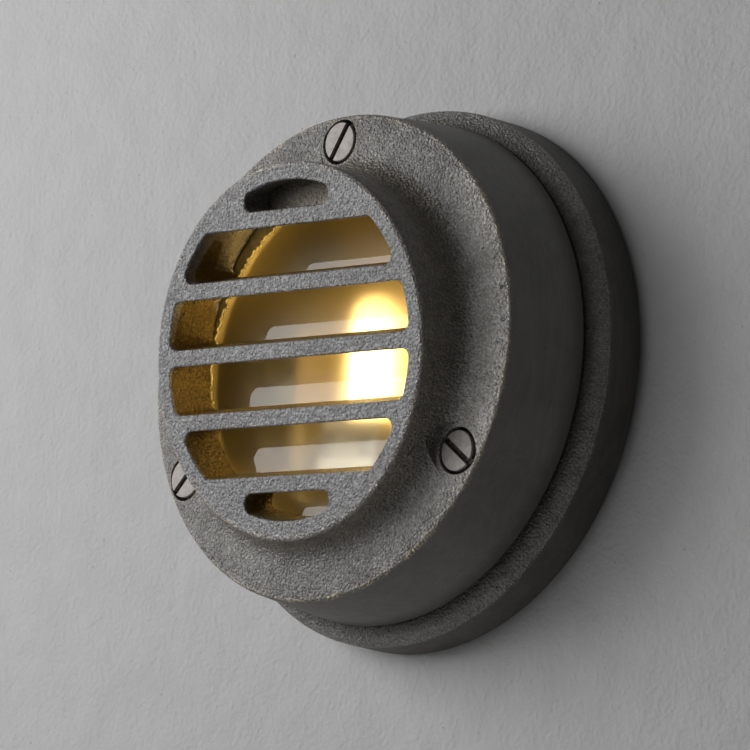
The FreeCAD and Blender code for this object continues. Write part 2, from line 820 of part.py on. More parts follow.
def main():
    """Make every node and write it."""
    os.makedirs("parts", exist_ok=True)
    write_node("base_plate", base_plate())
    write_node("wall_gasket", wall_gasket())
    write_node("shell_seal", shell_seal())
    write_node("front_shell", front_shell())
    write_node("lens", lens())
    write_node("lens_front_gasket", lens_front_gasket())
    write_node("lens_rear_gasket", lens_rear_gasket())
    write_node("lens_clamp_ring", lens_clamp_ring())
    write_node("clamp_ring_screws", clamp_ring_screws())
    slot_degrees = {"top": 60.4, "right": 144.3, "left": 48.5}
    for (side, degrees), (x, z) in zip(slot_degrees.items(), screw_places(screw_circle_radius)):
        write_node("cover_screw_" + side, cover_screw(x, z, degrees))
        write_node("screw_washer_" + side, screw_washer(x, z))
    write_node("lamp_capsule", lamp_capsule())
    write_node("lamp_filament", lamp_filament())
    write_node("lamp_pins", lamp_pins())
    write_node("lamp_holder", lamp_holder())
    write_node("lamp_holder_contacts", lamp_holder_contacts())
    write_node("holder_screws", holder_screws())
    write_node("terminal_block", terminal_block())
    write_node("terminal_inserts", terminal_inserts())
    write_node("terminal_screws", terminal_screws())
    write_node("terminal_block_screw", terminal_block_screw())
    near_way, far_way = way_places()
    write_node("lamp_lead_left", lamp_lead(near_way, -pin_spacing / 2, near_lead_drop, "lamp_lead_left"))
    write_node("lamp_lead_right", lamp_lead(far_way, pin_spacing / 2, far_lead_drop, "lamp_lead_right"))
    write_node("cable_grommet", cable_grommet())


main()
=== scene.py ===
"""Looks of a round cast step light: finishes, fine pieces, studio and camera round the fixed frame."""

import logging
import math
import random
from collections.abc import Callable, Iterable
from dataclasses import dataclass
from enum import Enum

import bmesh
import bpy
from mathutils import Euler, Matrix, Vector


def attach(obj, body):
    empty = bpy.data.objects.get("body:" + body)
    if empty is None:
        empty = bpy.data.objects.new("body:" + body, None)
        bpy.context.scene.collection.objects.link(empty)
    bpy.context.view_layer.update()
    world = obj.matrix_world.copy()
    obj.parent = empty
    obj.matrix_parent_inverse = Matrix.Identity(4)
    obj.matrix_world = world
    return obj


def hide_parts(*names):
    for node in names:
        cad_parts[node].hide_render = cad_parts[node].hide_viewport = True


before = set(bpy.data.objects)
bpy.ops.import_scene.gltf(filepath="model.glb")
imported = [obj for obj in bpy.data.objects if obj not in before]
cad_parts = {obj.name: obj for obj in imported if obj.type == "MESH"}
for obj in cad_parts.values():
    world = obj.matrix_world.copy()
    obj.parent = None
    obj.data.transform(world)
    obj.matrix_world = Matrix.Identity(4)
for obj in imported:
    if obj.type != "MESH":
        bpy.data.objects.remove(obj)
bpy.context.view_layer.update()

log = logging.getLogger("step_light")

MM = 0.001
FULL_TURN = 2 * math.pi
OUTWARD = Vector((0, -1, 0))
ORIGIN = Vector((0, 0, 0))
NOISE_LOW = 0.3
NOISE_HIGH = 0.7
Colour = tuple[float, float, float]
Point = tuple[float, float]
Triple = tuple[float, float, float]
Socket = bpy.types.NodeSocket
Material = bpy.types.Material
Piece = bpy.types.Object
Feed = Socket | float | tuple
Feeds = dict[str | int, Feed]


def spot(x: float, projection: float, z: float) -> Vector:
    """Place in the frame from millimetres.

    Args:
        x: Distance to the right of the light's axis.
        projection: Distance out from the wall.
        z: Height above the light's axis.

    Returns:
        The place in metres.
    """
    return Vector((x, -projection, z)) * MM


# Shader nodes


class NodeBench:
    """Adds shader nodes to one tree and joins them."""

    def __init__(self, tree: bpy.types.NodeTree) -> None:
        """Keeps the tree to work on."""
        self.tree = tree

    def node(self, kind: str, feeds: Feeds | None = None, **settings: object) -> bpy.types.Node:
        """Adds a node, sets its options and feeds its inputs.

        Args:
            kind: Blender's name of the node type.
            feeds: Input name or number to a socket or a plain value.
            **settings: Options of the node.

        Returns:
            The new node.
        """
        made = self.tree.nodes.new(kind)
        for name, value in settings.items():
            setattr(made, name, value)
        for name, value in (feeds or {}).items():
            if isinstance(value, Socket):
                self.tree.links.new(value, made.inputs[name])
            else:
                made.inputs[name].default_value = value
        return made

    def math(self, operation: str, first: Feed, second: Feed = 0.0) -> Socket:
        """Result of one arithmetic step.

        Args:
            operation: Name of the step, such as ADD.
            first: First value.
            second: Second value.

        Returns:
            The socket with the result.
        """
        return self.node("ShaderNodeMath", {0: first, 1: second}, operation=operation).outputs[0]

    def remap(self, value: Feed, low: float, high: float, start: float = 0.0, end: float = 1.0) -> Socket:
        """Value moved smoothly from one range to another and held at its ends.

        Args:
            value: Value to move.
            low: Value that becomes start.
            high: Value that becomes end.
            start: Result at low.
            end: Result at high.

        Returns:
            The socket with the result.
        """
        feeds = {"Value": value, "From Min": low, "From Max": high, "To Min": start, "To Max": end}
        return self.node("ShaderNodeMapRange", feeds, interpolation_type="SMOOTHSTEP").outputs["Result"]

    def blend(self, factor: Feed, first: Feed, second: Feed) -> Socket:
        """Colour mixed from two by a factor.

        Args:
            factor: Share of the second colour.
            first: First colour.
            second: Second colour.

        Returns:
            The socket with the mixed colour.
        """
        feeds = {0: factor, 6: padded(first), 7: padded(second)}
        return self.node("ShaderNodeMix", feeds, data_type="RGBA").outputs[2]

    def noise(self, vector: Feed, scale: Feed, detail: float = 2.0, roughness: float = 0.5) -> Socket:
        """Cloudy noise from about 0.3 to 0.7.

        Args:
            vector: Where to read it.
            scale: Clouds in a metre.
            detail: Number of finer layers.
            roughness: Weight of the finer layers.

        Returns:
            The socket with the noise.
        """
        feeds = {"Vector": vector, "Scale": scale, "Detail": detail, "Roughness": roughness}
        return self.node("ShaderNodeTexNoise", feeds).outputs["Fac"]

    def bump(self, height: Feed, depth: float, base: Feed | None = None) -> Socket:
        """Normal tilted by a height.

        Args:
            height: Height from 0 to 1.
            depth: Real depth of a height of 1, in metres.
            base: Normal to start from.

        Returns:
            The socket with the normal.
        """
        feeds: Feeds = {"Height": height, "Distance": depth, "Strength": 1.0}
        if base is not None:
            feeds["Normal"] = base
        return self.node("ShaderNodeBump", feeds).outputs["Normal"]

    def mix(self, factor: Feed, first: Feed, second: Feed) -> Socket:
        """Value mixed from two by a factor."""
        return self.node("ShaderNodeMix", {0: factor, 2: first, 3: second}, data_type="FLOAT").outputs[0]

    def weighed(self, first: Feed, share: float, second: Feed, other_share: float) -> Socket:
        """Sum of two values, each taken at its share."""
        scaled = self.math("MULTIPLY", first, share), self.math("MULTIPLY", second, other_share)
        return self.math("ADD", *scaled)

    def reach(self, first: Feed, second: Feed) -> Socket:
        """Distance from zero of a place with these two coordinates."""
        squares = self.math("MULTIPLY", first, first), self.math("MULTIPLY", second, second)
        return self.math("SQRT", self.math("ADD", *squares))

    def place(self) -> Socket:
        """Object coordinates of the piece."""
        return self.node("ShaderNodeTexCoord").outputs["Object"]

    def parts(self, vector: Feed) -> tuple[Socket, Socket, Socket]:
        """X, Y and Z of a vector."""
        split = self.node("ShaderNodeSeparateXYZ", {0: vector})
        return split.outputs[0], split.outputs[1], split.outputs[2]

    def moved(
        self, vector: Feed, shift: tuple = (0, 0, 0), turn: tuple = (0, 0, 0), size: tuple = (1, 1, 1)
    ) -> Socket:
        """Vector moved, turned and stretched.

        Args:
            vector: Vector to change.
            shift: Movement in metres.
            turn: Turn in radians.
            size: Stretch along each axis.

        Returns:
            The socket with the new vector.
        """
        feeds = {"Vector": vector, "Location": shift, "Rotation": turn, "Scale": size}
        return self.node("ShaderNodeMapping", feeds).outputs[0]


def padded(colour: Feed) -> Feed:
    """Colour with its alpha, or the socket as it is."""
    return (*colour, 1.0) if isinstance(colour, tuple) and len(colour) == 3 else colour


def shaded(colour: Colour, share: float) -> Colour:
    """Colour with each of its parts taken at a share."""
    return tuple(part * share for part in colour)


class Effect(Enum):
    """Effects that several finishes share, each one node group."""

    CAST_GRAIN = "cast_grain"
    PATINA = "patina"
    RIM = "rim"
    WORKED_MARKS = "worked_marks"


class EffectKit:
    """Builds each shared effect once and places it in materials."""

    def __init__(self) -> None:
        """Builds the groups."""
        builders: dict[Effect, Callable[[], bpy.types.NodeTree]] = {
            Effect.CAST_GRAIN: self._cast_grain,
            Effect.PATINA: self._patina,
            Effect.RIM: self._rim,
            Effect.WORKED_MARKS: self._worked_marks,
        }
        self.groups = {effect: build() for effect, build in builders.items()}

    def use(self, bench: NodeBench, effect: Effect, feeds: Feeds) -> bpy.types.Node:
        """Places an effect in a material.

        Args:
            bench: The material's nodes.
            effect: The effect.
            feeds: Values of its inputs.

        Returns:
            The group node.
        """
        made = bench.node("ShaderNodeGroup", node_tree=self.groups[effect])
        join(bench, made, feeds)
        return made

    @staticmethod
    def _group(
        effect: Effect, inputs: Iterable[str], outputs: Iterable[str]
    ) -> tuple[NodeBench, dict[str, Socket], bpy.types.Node]:
        """Empty group with its sockets. Its input Vector holds a vector, and every other socket a number.

        Args:
            effect: The effect that names the group.
            inputs: Names of the inputs.
            outputs: Names of the outputs.

        Returns:
            The group's nodes, its inputs by name, and its output node.
        """
        tree = bpy.data.node_groups.new(effect.value, "ShaderNodeTree")
        for name in inputs:
            kind = "NodeSocketVector" if name == "Vector" else "NodeSocketFloat"
            tree.interface.new_socket(name=name, in_out="INPUT", socket_type=kind)
        for name in outputs:
            tree.interface.new_socket(name=name, in_out="OUTPUT", socket_type="NodeSocketFloat")
        bench = NodeBench(tree)
        source = bench.node("NodeGroupInput")
        sink = bench.node("NodeGroupOutput")
        return bench, {name: source.outputs[name] for name in inputs}, sink

    @classmethod
    def _cast_grain(cls) -> bpy.types.NodeTree:
        """Skin of a sand casting: rounded grains, fine grit, pits and speckle.

        Returns:
            The group.
        """
        grit_scale, swell_scale, pit_scale, speckle_scale = 1.3, 0.28, 0.55, 1.1
        grain_weight, swell_weight, pit_weight = 0.9, 0.7, 0.7
        bench, given, sink = cls._group(Effect.CAST_GRAIN, ("Vector", "Size"), ("Height", "Pits", "Speckle"))
        vector = given["Vector"]
        scale = bench.math("DIVIDE", 1.0, given["Size"])
        feeds = {"Vector": vector, "Scale": scale, "Smoothness": 0.4, "Randomness": 1.0}
        grains = bench.node("ShaderNodeTexVoronoi", feeds, feature="SMOOTH_F1").outputs["Distance"]
        grit = bench.noise(vector, bench.math("MULTIPLY", scale, grit_scale), roughness=0.6)
        swell = bench.noise(vector, bench.math("MULTIPLY", scale, swell_scale))
        height = bench.math("SUBTRACT", grit, bench.math("MULTIPLY", grains, grain_weight))
        height = bench.math("ADD", height, bench.math("MULTIPLY", swell, swell_weight))
        seeds = bench.noise(vector, bench.math("MULTIPLY", scale, pit_scale), roughness=0.7)
        pits = bench.remap(seeds, low=0.64, high=0.72)
        height = bench.math("SUBTRACT", height, bench.math("MULTIPLY", pits, pit_weight))
        spots = bench.noise(vector, bench.math("MULTIPLY", scale, speckle_scale), roughness=0.6)
        speckle = bench.remap(spots, low=0.36, high=0.66)
        join(bench, sink, {"Height": height, "Pits": pits, "Speckle": speckle})
        return bench.tree

    @classmethod
    def _patina(cls) -> bpy.types.NodeTree:
        """Uneven weathering: wide blotches, small clouds and streaks.

        Returns:
            The group.
        """
        wide_scale, fine_scale, streak_scale = 0.4, 2.2, 2.0
        drawn_out = (2.6, 2.6, 0.25)
        bench, given, sink = cls._group(Effect.PATINA, ("Vector", "Size"), ("Blotch", "Cloud", "Streak"))
        vector = given["Vector"]
        scale = bench.math("DIVIDE", 1.0, given["Size"])
        wide = bench.noise(vector, bench.math("MULTIPLY", scale, wide_scale), detail=3.0, roughness=0.6)
        fine = bench.noise(vector, bench.math("MULTIPLY", scale, fine_scale), detail=3.0, roughness=0.6)
        drawn = bench.moved(vector, size=drawn_out)
        streak = bench.noise(drawn, bench.math("MULTIPLY", scale, streak_scale), detail=3.0, roughness=0.65)
        feeds = {
            "Blotch": bench.remap(wide, low=0.35, high=0.65),
            "Cloud": bench.remap(fine, low=0.35, high=0.65),
            "Streak": bench.remap(streak, low=0.38, high=0.66),
        }
        join(bench, sink, feeds)
        return bench.tree

    @classmethod
    def _rim(cls) -> bpy.types.NodeTree:
        """Worn band round a circular rim, broken up by grain, and the plain band near the rim, which serves
        for painted shade.

        Returns:
            The group.
        """
        patch_scale, least_wear = 0.09, 0.25
        bench, given, sink = cls._group(Effect.RIM, ("Vector", "Radius", "Width", "Breaks"), ("Wear", "Near"))
        x, y, z = bench.parts(given["Vector"])
        off = bench.math("SUBTRACT", bench.reach(x, z), given["Radius"])
        share = bench.math("DIVIDE", bench.reach(off, y), given["Width"])
        near = bench.remap(share, low=1.0, high=0.0)
        fine_scale = bench.math("DIVIDE", 1.0, given["Breaks"])
        wide_scale = bench.math("DIVIDE", patch_scale, given["Breaks"])
        breaks = bench.noise(given["Vector"], fine_scale, detail=4.0, roughness=0.75)
        patches = bench.noise(given["Vector"], wide_scale)
        broken = bench.remap(breaks, low=0.47, high=0.62)
        chance = bench.math("MULTIPLY", broken, bench.remap(patches, low=0.38, high=0.6, start=least_wear))
        join(bench, sink, {"Wear": bench.math("MULTIPLY", near, chance), "Near": near})
        return bench.tree

    @classmethod
    def _worked_marks(cls) -> bpy.types.NodeTree:
        """Fine marks of a worked surface: cloudy, drawn out or woven by the stretch of its vector.

        Returns:
            The group.
        """
        smudge_scale, speck_scale = 0.12, 0.7
        outputs = ("Height", "Smudge", "Specks")
        bench, given, sink = cls._group(Effect.WORKED_MARKS, ("Vector", "Size"), outputs)
        vector = given["Vector"]
        scale = bench.math("DIVIDE", 1.0, given["Size"])
        fine = bench.noise(vector, scale, detail=4.0, roughness=0.65)
        smudge = bench.noise(vector, bench.math("MULTIPLY", scale, smudge_scale), roughness=0.6)
        specks = bench.noise(vector, bench.math("MULTIPLY", scale, speck_scale), detail=1.0)
        feeds = {
            "Height": fine,
            "Smudge": bench.remap(smudge, low=0.35, high=0.65),
            "Specks": bench.remap(specks, low=0.66, high=0.72),
        }
        join(bench, sink, feeds)
        return bench.tree


def new_material(name: str) -> tuple[Material, NodeBench, bpy.types.Node]:
    """Empty material with its main shader joined to its output.

    Args:
        name: Name of the finish.

    Returns:
        The material, its nodes and its main shader.
    """
    material = bpy.data.materials.new(name)
    material.use_nodes = True
    material.node_tree.nodes.clear()
    bench = NodeBench(material.node_tree)
    shader = bench.node("ShaderNodeBsdfPrincipled")
    bench.node("ShaderNodeOutputMaterial", {"Surface": shader.outputs[0]})
    return material, bench, shader


def join(bench: NodeBench, node: bpy.types.Node, feeds: Feeds) -> None:
    """Feeds the inputs of a shader or a group.

    Args:
        bench: The nodes it belongs to.
        node: The shader or the group.
        feeds: Input name to socket or plain value.
    """
    for name, value in feeds.items():
        if isinstance(value, Socket):
            bench.tree.links.new(value, node.inputs[name])
        else:
            node.inputs[name].default_value = padded(value)


# Finishes


@dataclass(frozen=True)
class WearAndShadeRim:
    """A circular edge where the patina has rubbed off, and, as a shade ring, a band of painted shade round a
    ring.

    Sizes are in millimetres, and lean is a turn about X in degrees.
    """

    radius: float
    projection: float
    across: float = 0.0
    drop: float = 0.0
    lean: float = 0.0
    width: float = 1.0
    strength: float = 0.8


@dataclass(frozen=True)
class Zone:
    """Part of a casting with a tone that differs from the rest: all that lies within these limits, in
    millimetres. Zones hold the bronze's own tones, and also painted lamp light on inner walls and painted
    light on the ring's right side.

    Onset, fade, rim, spread and top_fade are the widths over which it starts at its inner end, its outer end,
    its radius, its left side and its top.
    """

    radius: float
    start: float
    end: float
    tone: Colour
    top: float = 80.0
    left: float = -80.0
    onset: float = 0.2
    fade: float = 0.4
    rim: float = 0.2
    spread: float = 20.0
    top_fade: float = 0.4


@dataclass(frozen=True)
class CastBronze:
    """Weathered sand-cast bronze: coarse skin, blasted face, satin sides and rubbed rims, with painted shade
    on its side and in its valleys, and painted light in some of its zones.

    Lengths are in millimetres. A share says how much of a mask, a height or a colour is taken.
    """

    name: str
    light: Colour
    dark: Colour
    face: Colour
    rubbed: Colour
    rims: tuple[WearAndShadeRim, ...]
    # Rings of painted shade in the valleys.
    painted_shade_rings: tuple[WearAndShadeRim, ...]
    side_projection: float
    side_radius: float
    zones: tuple[Zone, ...]
    # Colour of the painted shade on the outer side and in the valleys.
    stain: Colour = (0.045, 0.036, 0.026)
    # Share of painted shade on the outer side wall.
    side_painted_shade: float = 0.0
    blasted_face: bool = False
    grain: float = 0.64
    grain_depth: float = 0.52
    face_grain: float = 0.66
    face_grain_depth: float = 0.36
    face_projection: float = 46.6
    face_drop: float = 0.9
    face_lean: float = 7.4
    face_fade_start: float = 0.8
    face_fade_end: float = 0.3
    side_edge: float = 0.5
    patina_size: float = 9.0
    wear_breaks: float = 0.5
    speckle_share: float = 0.54
    cloud_share: float = 0.24
    blotch_share: float = 0.22
    satin_streak_share: float = 0.16
    satin_blotch_share: float = 0.25
    zone_dark_share: float = 0.38
    side_height_share: float = 0.075
    side_pit_share: float = 0.3
    face_dark_share: float = 0.6
    face_light_share: float = 1.14
    face_blotch_share: float = 0.25
    pit_share: float = 0.75
    pit_dark_share: float = 0.3
    roughness: float = 0.6
    glint_gloss: float = 0.17
    wear_gloss: float = 0.2
    metallic: float = 0.2
    glint_metallic: float = 0.35

    def build(self, kit: EffectKit) -> Material:
        """Makes the material.

        Args:
            kit: The shared effects.

        Returns:
            The material.
        """
        material, bench, shader = new_material(self.name)
        place = bench.place()
        axes = bench.parts(place)
        coarse = kit.use(bench, Effect.CAST_GRAIN, {"Vector": place, "Size": self.grain * MM}).outputs
        patina = kit.use(bench, Effect.PATINA, {"Vector": place, "Size": self.patina_size * MM}).outputs
        side = self._side(bench, axes)
        tone = bench.weighed(coarse["Speckle"], self.speckle_share, patina["Cloud"], self.cloud_share)
        tone = bench.math("ADD", tone, bench.math("MULTIPLY", patina["Blotch"], self.blotch_share))
        streak, blotch = self.satin_streak_share, self.satin_blotch_share
        satin = bench.weighed(patina["Streak"], streak, patina["Blotch"], blotch)
        tone = bench.mix(side, tone, satin)
        colour = bench.blend(tone, self.dark, self.light)
        # Zones: the bronze's own tones, painted lamp light on the inner walls, and painted light on the
        # ring's right side.
        for zone in self.zones:
            zoned_colour = bench.blend(tone, shaded(zone.tone, self.zone_dark_share), zone.tone)
            colour = bench.blend(self._inside(bench, zone, axes), colour, zoned_colour)
        # Painted shade: the outer side wall darkened by its share.
        colour = bench.blend(bench.math("MULTIPLY", side, self.side_painted_shade), colour, self.stain)
        lowered = bench.remap(side, 0.0, 1.0, 1.0, self.side_height_share)
        height = bench.math("MULTIPLY", coarse["Height"], lowered)
        pits = bench.math("MULTIPLY", coarse["Pits"], bench.remap(side, 0.0, 1.0, 1.0, self.side_pit_share))
        if self.blasted_face:
            face = self._face(bench, axes)
            fine = kit.use(bench, Effect.CAST_GRAIN, {"Vector": place, "Size": self.face_grain * MM}).outputs
            dark, light = shaded(self.face, self.face_dark_share), shaded(self.face, self.face_light_share)
            blasted = bench.blend(fine["Speckle"], dark, light)
            dirt = bench.math("MULTIPLY", patina["Blotch"], self.face_blotch_share)
            blasted = bench.blend(dirt, blasted, self.dark)
            colour = bench.blend(face, colour, blasted)
            shallow = bench.math("MULTIPLY", fine["Height"], self.face_grain_depth / self.grain_depth)
            height = bench.mix(face, height, shallow)
            pits = bench.mix(face, pits, fine["Pits"])
        pit_dark = shaded(self.dark, self.pit_dark_share)
        colour = bench.blend(bench.math("MULTIPLY", pits, self.pit_share), colour, pit_dark)
        # Painted shade: dark bands round the shade rings, in the valleys.
        colour = bench.blend(self._rings(kit, bench, place, self.painted_shade_rings, "Near"), colour, self.stain)
        wear = self._rings(kit, bench, place, self.rims, "Wear")
        glint = bench.math("MULTIPLY", coarse["Speckle"], bench.remap(side, 0.0, 1.0, 1.0, 0.0))
        rough = bench.math("SUBTRACT", self.roughness, bench.math("MULTIPLY", glint, self.glint_gloss))
        metal = bench.math("ADD", self.metallic, bench.math("MULTIPLY", glint, self.glint_metallic))
        feeds = {
            "Base Color": bench.blend(wear, colour, self.rubbed),
            "Roughness": bench.math("SUBTRACT", rough, bench.math("MULTIPLY", wear, self.wear_gloss)),
            "Metallic": bench.math("MAXIMUM", metal, wear),
            "Normal": bench.bump(height, self.grain_depth * MM),
        }
        join(bench, shader, feeds)
        return material

    def _side(self, bench: NodeBench, axes: tuple[Socket, ...]) -> Socket:
        """Mask of the satin side wall, from its radius and projection.

        Args:
            bench: The material's nodes.
            axes: X, Y and Z of the place.

        Returns:
            The socket with the mask.
        """
        x, y, z = axes
        around = bench.reach(x, z)
        outside = bench.remap(around, (self.side_radius - self.side_edge) * MM, self.side_radius * MM)
        behind = bench.remap(y, -(self.side_projection + self.side_edge) * MM, -self.side_projection * MM)
        return bench.math("MULTIPLY", outside, behind)

    @staticmethod
    def _inside(bench: NodeBench, zone: Zone, axes: tuple[Socket, ...]) -> Socket:
        """Mask of the surfaces within one zone.

        Args:
            bench: The material's nodes.
            zone: The zone.
            axes: X, Y and Z of the place.

        Returns:
            The socket with the mask.
        """
        x, y, z = axes
        within = bench.remap(bench.reach(x, z), zone.radius * MM, (zone.radius - zone.rim) * MM)
        ahead = bench.remap(y, -zone.start * MM, -(zone.start + zone.onset) * MM)
        behind = bench.remap(y, -zone.end * MM, -(zone.end - zone.fade) * MM)
        below = bench.remap(z, zone.top * MM, (zone.top - zone.top_fade) * MM)
        beside = bench.remap(x, zone.left * MM, (zone.left + zone.spread) * MM)
        inward = bench.math("MULTIPLY", within, ahead)
        mask = bench.math("MULTIPLY", inward, bench.math("MULTIPLY", behind, below))
        return bench.math("MULTIPLY", mask, beside)

    def _face(self, bench: NodeBench, axes: tuple[Socket, ...]) -> Socket:
        """Mask of the leaning blasted face, from its distance to the face's plane.

        Args:
            bench: The material's nodes.
            axes: X, Y and Z of the place.

        Returns:
            The socket with the mask.
        """
        _, y, z = axes
        lean = math.radians(self.face_lean)
        ahead = -math.cos(lean), -math.sin(lean)
        centre = spot(0, self.face_projection, -self.face_drop)
        away = bench.weighed(y, ahead[0], z, ahead[1])
        away = bench.math("SUBTRACT", away, centre.y * ahead[0] + centre.z * ahead[1])
        return bench.remap(away, -self.face_fade_start * MM, -self.face_fade_end * MM)

    def _rings(
        self, kit: EffectKit, bench: NodeBench, place: Feed, rims: tuple[WearAndShadeRim, ...], output: str
    ) -> Socket:
        """Mask of several rings.

        Args:
            kit: The shared effects.
            bench: The material's nodes.
            place: Object coordinates.
            rims: The rings.
            output: Output of the rim effect: broken-up wear, or all that is near, which serves for painted
                shade.

        Returns:
            The socket with the mask.
        """
        total: Feed = 0.0
        breaks = self.wear_breaks * MM
        for rim in rims:
            shift = spot(rim.across, rim.projection, -rim.drop) * -1
            centred = bench.moved(place, shift=tuple(shift))
            turned = bench.moved(centred, turn=(math.radians(-rim.lean), 0, 0))
            feeds = {"Vector": turned, "Radius": rim.radius * MM, "Width": rim.width * MM, "Breaks": breaks}
            mask = kit.use(bench, Effect.RIM, feeds).outputs[output]
            total = bench.math("MAXIMUM", total, bench.math("MULTIPLY", mask, rim.strength))
        return total


class Run(Enum):
    """How the fine marks of a worked finish run, as the stretch of their pattern."""

    CLOUDY = (1.0, 1.0, 1.0)
    ALONG_X = (0.08, 1.0, 1.0)
    ALONG_Z = (1.0, 1.0, 0.08)
    FIBROUS = (1.0, 0.45, 0.45)


@dataclass(frozen=True)
class WorkedFinish:
    """A plain material with its own marks: rubber, ceramic, plastic, plate or turned metal.

    Size and depth are in millimetres.
    """

    name: str
    base: Colour
    soiled: Colour
    run: Run = Run.CLOUDY
    size: float = 0.3
    depth: float = 0.01
    soil: float = 0.5
    roughness: float = 0.5
    spread: float = 0.15
    metallic: float = 0.0
    coat: float = 0.0
    coat_roughness: float = 0.12

    def build(self, kit: EffectKit) -> Material:
        """Makes the material.

        Args:
            kit: The shared effects.

        Returns:
            The material.
        """
        material, bench, shader = new_material(self.name)
        vector = bench.moved(bench.place(), size=self.run.value)
        marks = kit.use(bench, Effect.WORKED_MARKS, {"Vector": vector, "Size": self.size * MM}).outputs
        soil = bench.math("MULTIPLY", marks["Smudge"], self.soil)
        soil = bench.math("MAXIMUM", soil, bench.math("MULTIPLY", marks["Specks"], self.soil))
        smooth, coarse = self.roughness - self.spread, self.roughness + self.spread
        feeds = {
            "Base Color": bench.blend(soil, self.base, self.soiled),
            "Roughness": bench.remap(marks["Height"], NOISE_LOW, NOISE_HIGH, smooth, coarse),
            "Metallic": self.metallic,
            "Coat Weight": self.coat,
            "Coat Roughness": self.coat_roughness,
            "Normal": bench.bump(marks["Height"], self.depth * MM),
        }
        join(bench, shader, feeds)
        return material


@dataclass(frozen=True)
class ScrewMetal:
    """Turned screw metal, dulled, with grime and painted shade in its slot, on its head's side and under its
    head.

    The band of grime and painted shade, and the shank, start at their depths below the head's top.
    """

    name: str = "cover_screw_metal"
    base: Colour = (0.34, 0.312, 0.293)
    tarnish: Colour = (0.23, 0.206, 0.188)
    grime_and_shade: Colour = (0.018, 0.014, 0.011)
    clot: Colour = (0.2, 0.16, 0.12)
    face_projection: float = 34.9
    mark_size: float = 0.22
    clot_size: float = 0.7
    grime_and_shade_depths: Point = (0.25, 0.8)
    shank_depths: Point = (3.2, 3.6)
    tarnish_share: float = 0.6
    speck_share: float = 0.7
    grime_and_shade_share: float = 0.96
    roughness: Point = (0.5, 0.68)
    grime_roughness: float = 0.3
    metallic: float = 0.35
    clot_height: float = 8.0
    depth: float = 0.035

    def build(self, kit: EffectKit) -> Material:
        """Makes the material.

        Args:
            kit: The shared effects.

        Returns:
            The material.
        """
        material, bench, shader = new_material(self.name)
        place = bench.place()
        marks = kit.use(bench, Effect.WORKED_MARKS, {"Vector": place, "Size": self.mark_size * MM}).outputs
        clots = kit.use(bench, Effect.CAST_GRAIN, {"Vector": place, "Size": self.clot_size * MM}).outputs
        _, y, _ = bench.parts(place)
        sunk = bench.remap(y, *(-(self.face_projection - depth) * MM for depth in self.grime_and_shade_depths))
        shank = bench.remap(y, *(-(self.face_projection - depth) * MM for depth in self.shank_depths))
        # Grime and painted shade: all that is sunk below the head's top, down to the shank, is darkened: the
        # slot, the head's side and its underside, where the gap round the head lies in shade. The lumps are
        # real grime.
        grime_and_shade_mask = bench.math("MULTIPLY", sunk, bench.math("SUBTRACT", 1.0, shank))
        dull = bench.math("MULTIPLY", marks["Smudge"], self.tarnish_share)
        colour = bench.blend(dull, self.base, self.tarnish)
        colour = bench.blend(bench.math("MULTIPLY", marks["Specks"], self.speck_share), colour, self.grime_and_shade)
        grime_and_shade_colour = bench.blend(clots["Speckle"], self.grime_and_shade, self.clot)
        colour = bench.blend(bench.math("MULTIPLY", grime_and_shade_mask, self.grime_and_shade_share), colour, grime_and_shade_colour)
        rough = bench.remap(marks["Height"], NOISE_LOW, NOISE_HIGH, *self.roughness)
        lumps = bench.math("MULTIPLY", bench.math("MULTIPLY", clots["Height"], grime_and_shade_mask), self.clot_height)
        feeds = {
            "Base Color": colour,
            "Roughness": bench.math("ADD", rough, bench.math("MULTIPLY", grime_and_shade_mask, self.grime_roughness)),
            "Metallic": bench.math("SUBTRACT", self.metallic, bench.math("MULTIPLY", grime_and_shade_mask, self.metallic)),
            "Normal": bench.bump(bench.math("ADD", marks["Height"], lumps), self.depth * MM),
        }
        join(bench, shader, feeds)
        return material


@dataclass(frozen=True)
class LensGlass:
    """Toughened glass: polished front and frosted back. Lengths are in millimetres.

    Its refraction is set lower than that of real glass, so that the lit inside shows as in the photograph.
    """

    name: str = "lens_glass"
    tint: Colour = (0.98, 0.94, 0.77)
    front: float = 33.6
    thickness: float = 4.0
    skin: float = 0.6
    frosted: float = 0.5
    dust_size: float = 1.4
    dust: float = 0.01
    refraction: float = 1.33

    def build(self, kit: EffectKit) -> Material:
        """Makes the material.

        Args:
            kit: The shared effects.

        Returns:
            The material.
        """
        material, bench, shader = new_material(self.name)
        place = bench.place()
        _, y, _ = bench.parts(place)
        back = bench.remap(y, -(self.front - self.skin) * MM, -(self.front - self.thickness + self.skin) * MM)
        marks = kit.use(bench, Effect.WORKED_MARKS, {"Vector": place, "Size": self.dust_size * MM}).outputs
        feeds = {
            "Base Color": self.tint,
            "Roughness": bench.weighed(back, self.frosted, marks["Specks"], self.dust),
            "Metallic": 0.0,
            "IOR": self.refraction,
            "Transmission Weight": 1.0,
        }
        join(bench, shader, feeds)
        return material


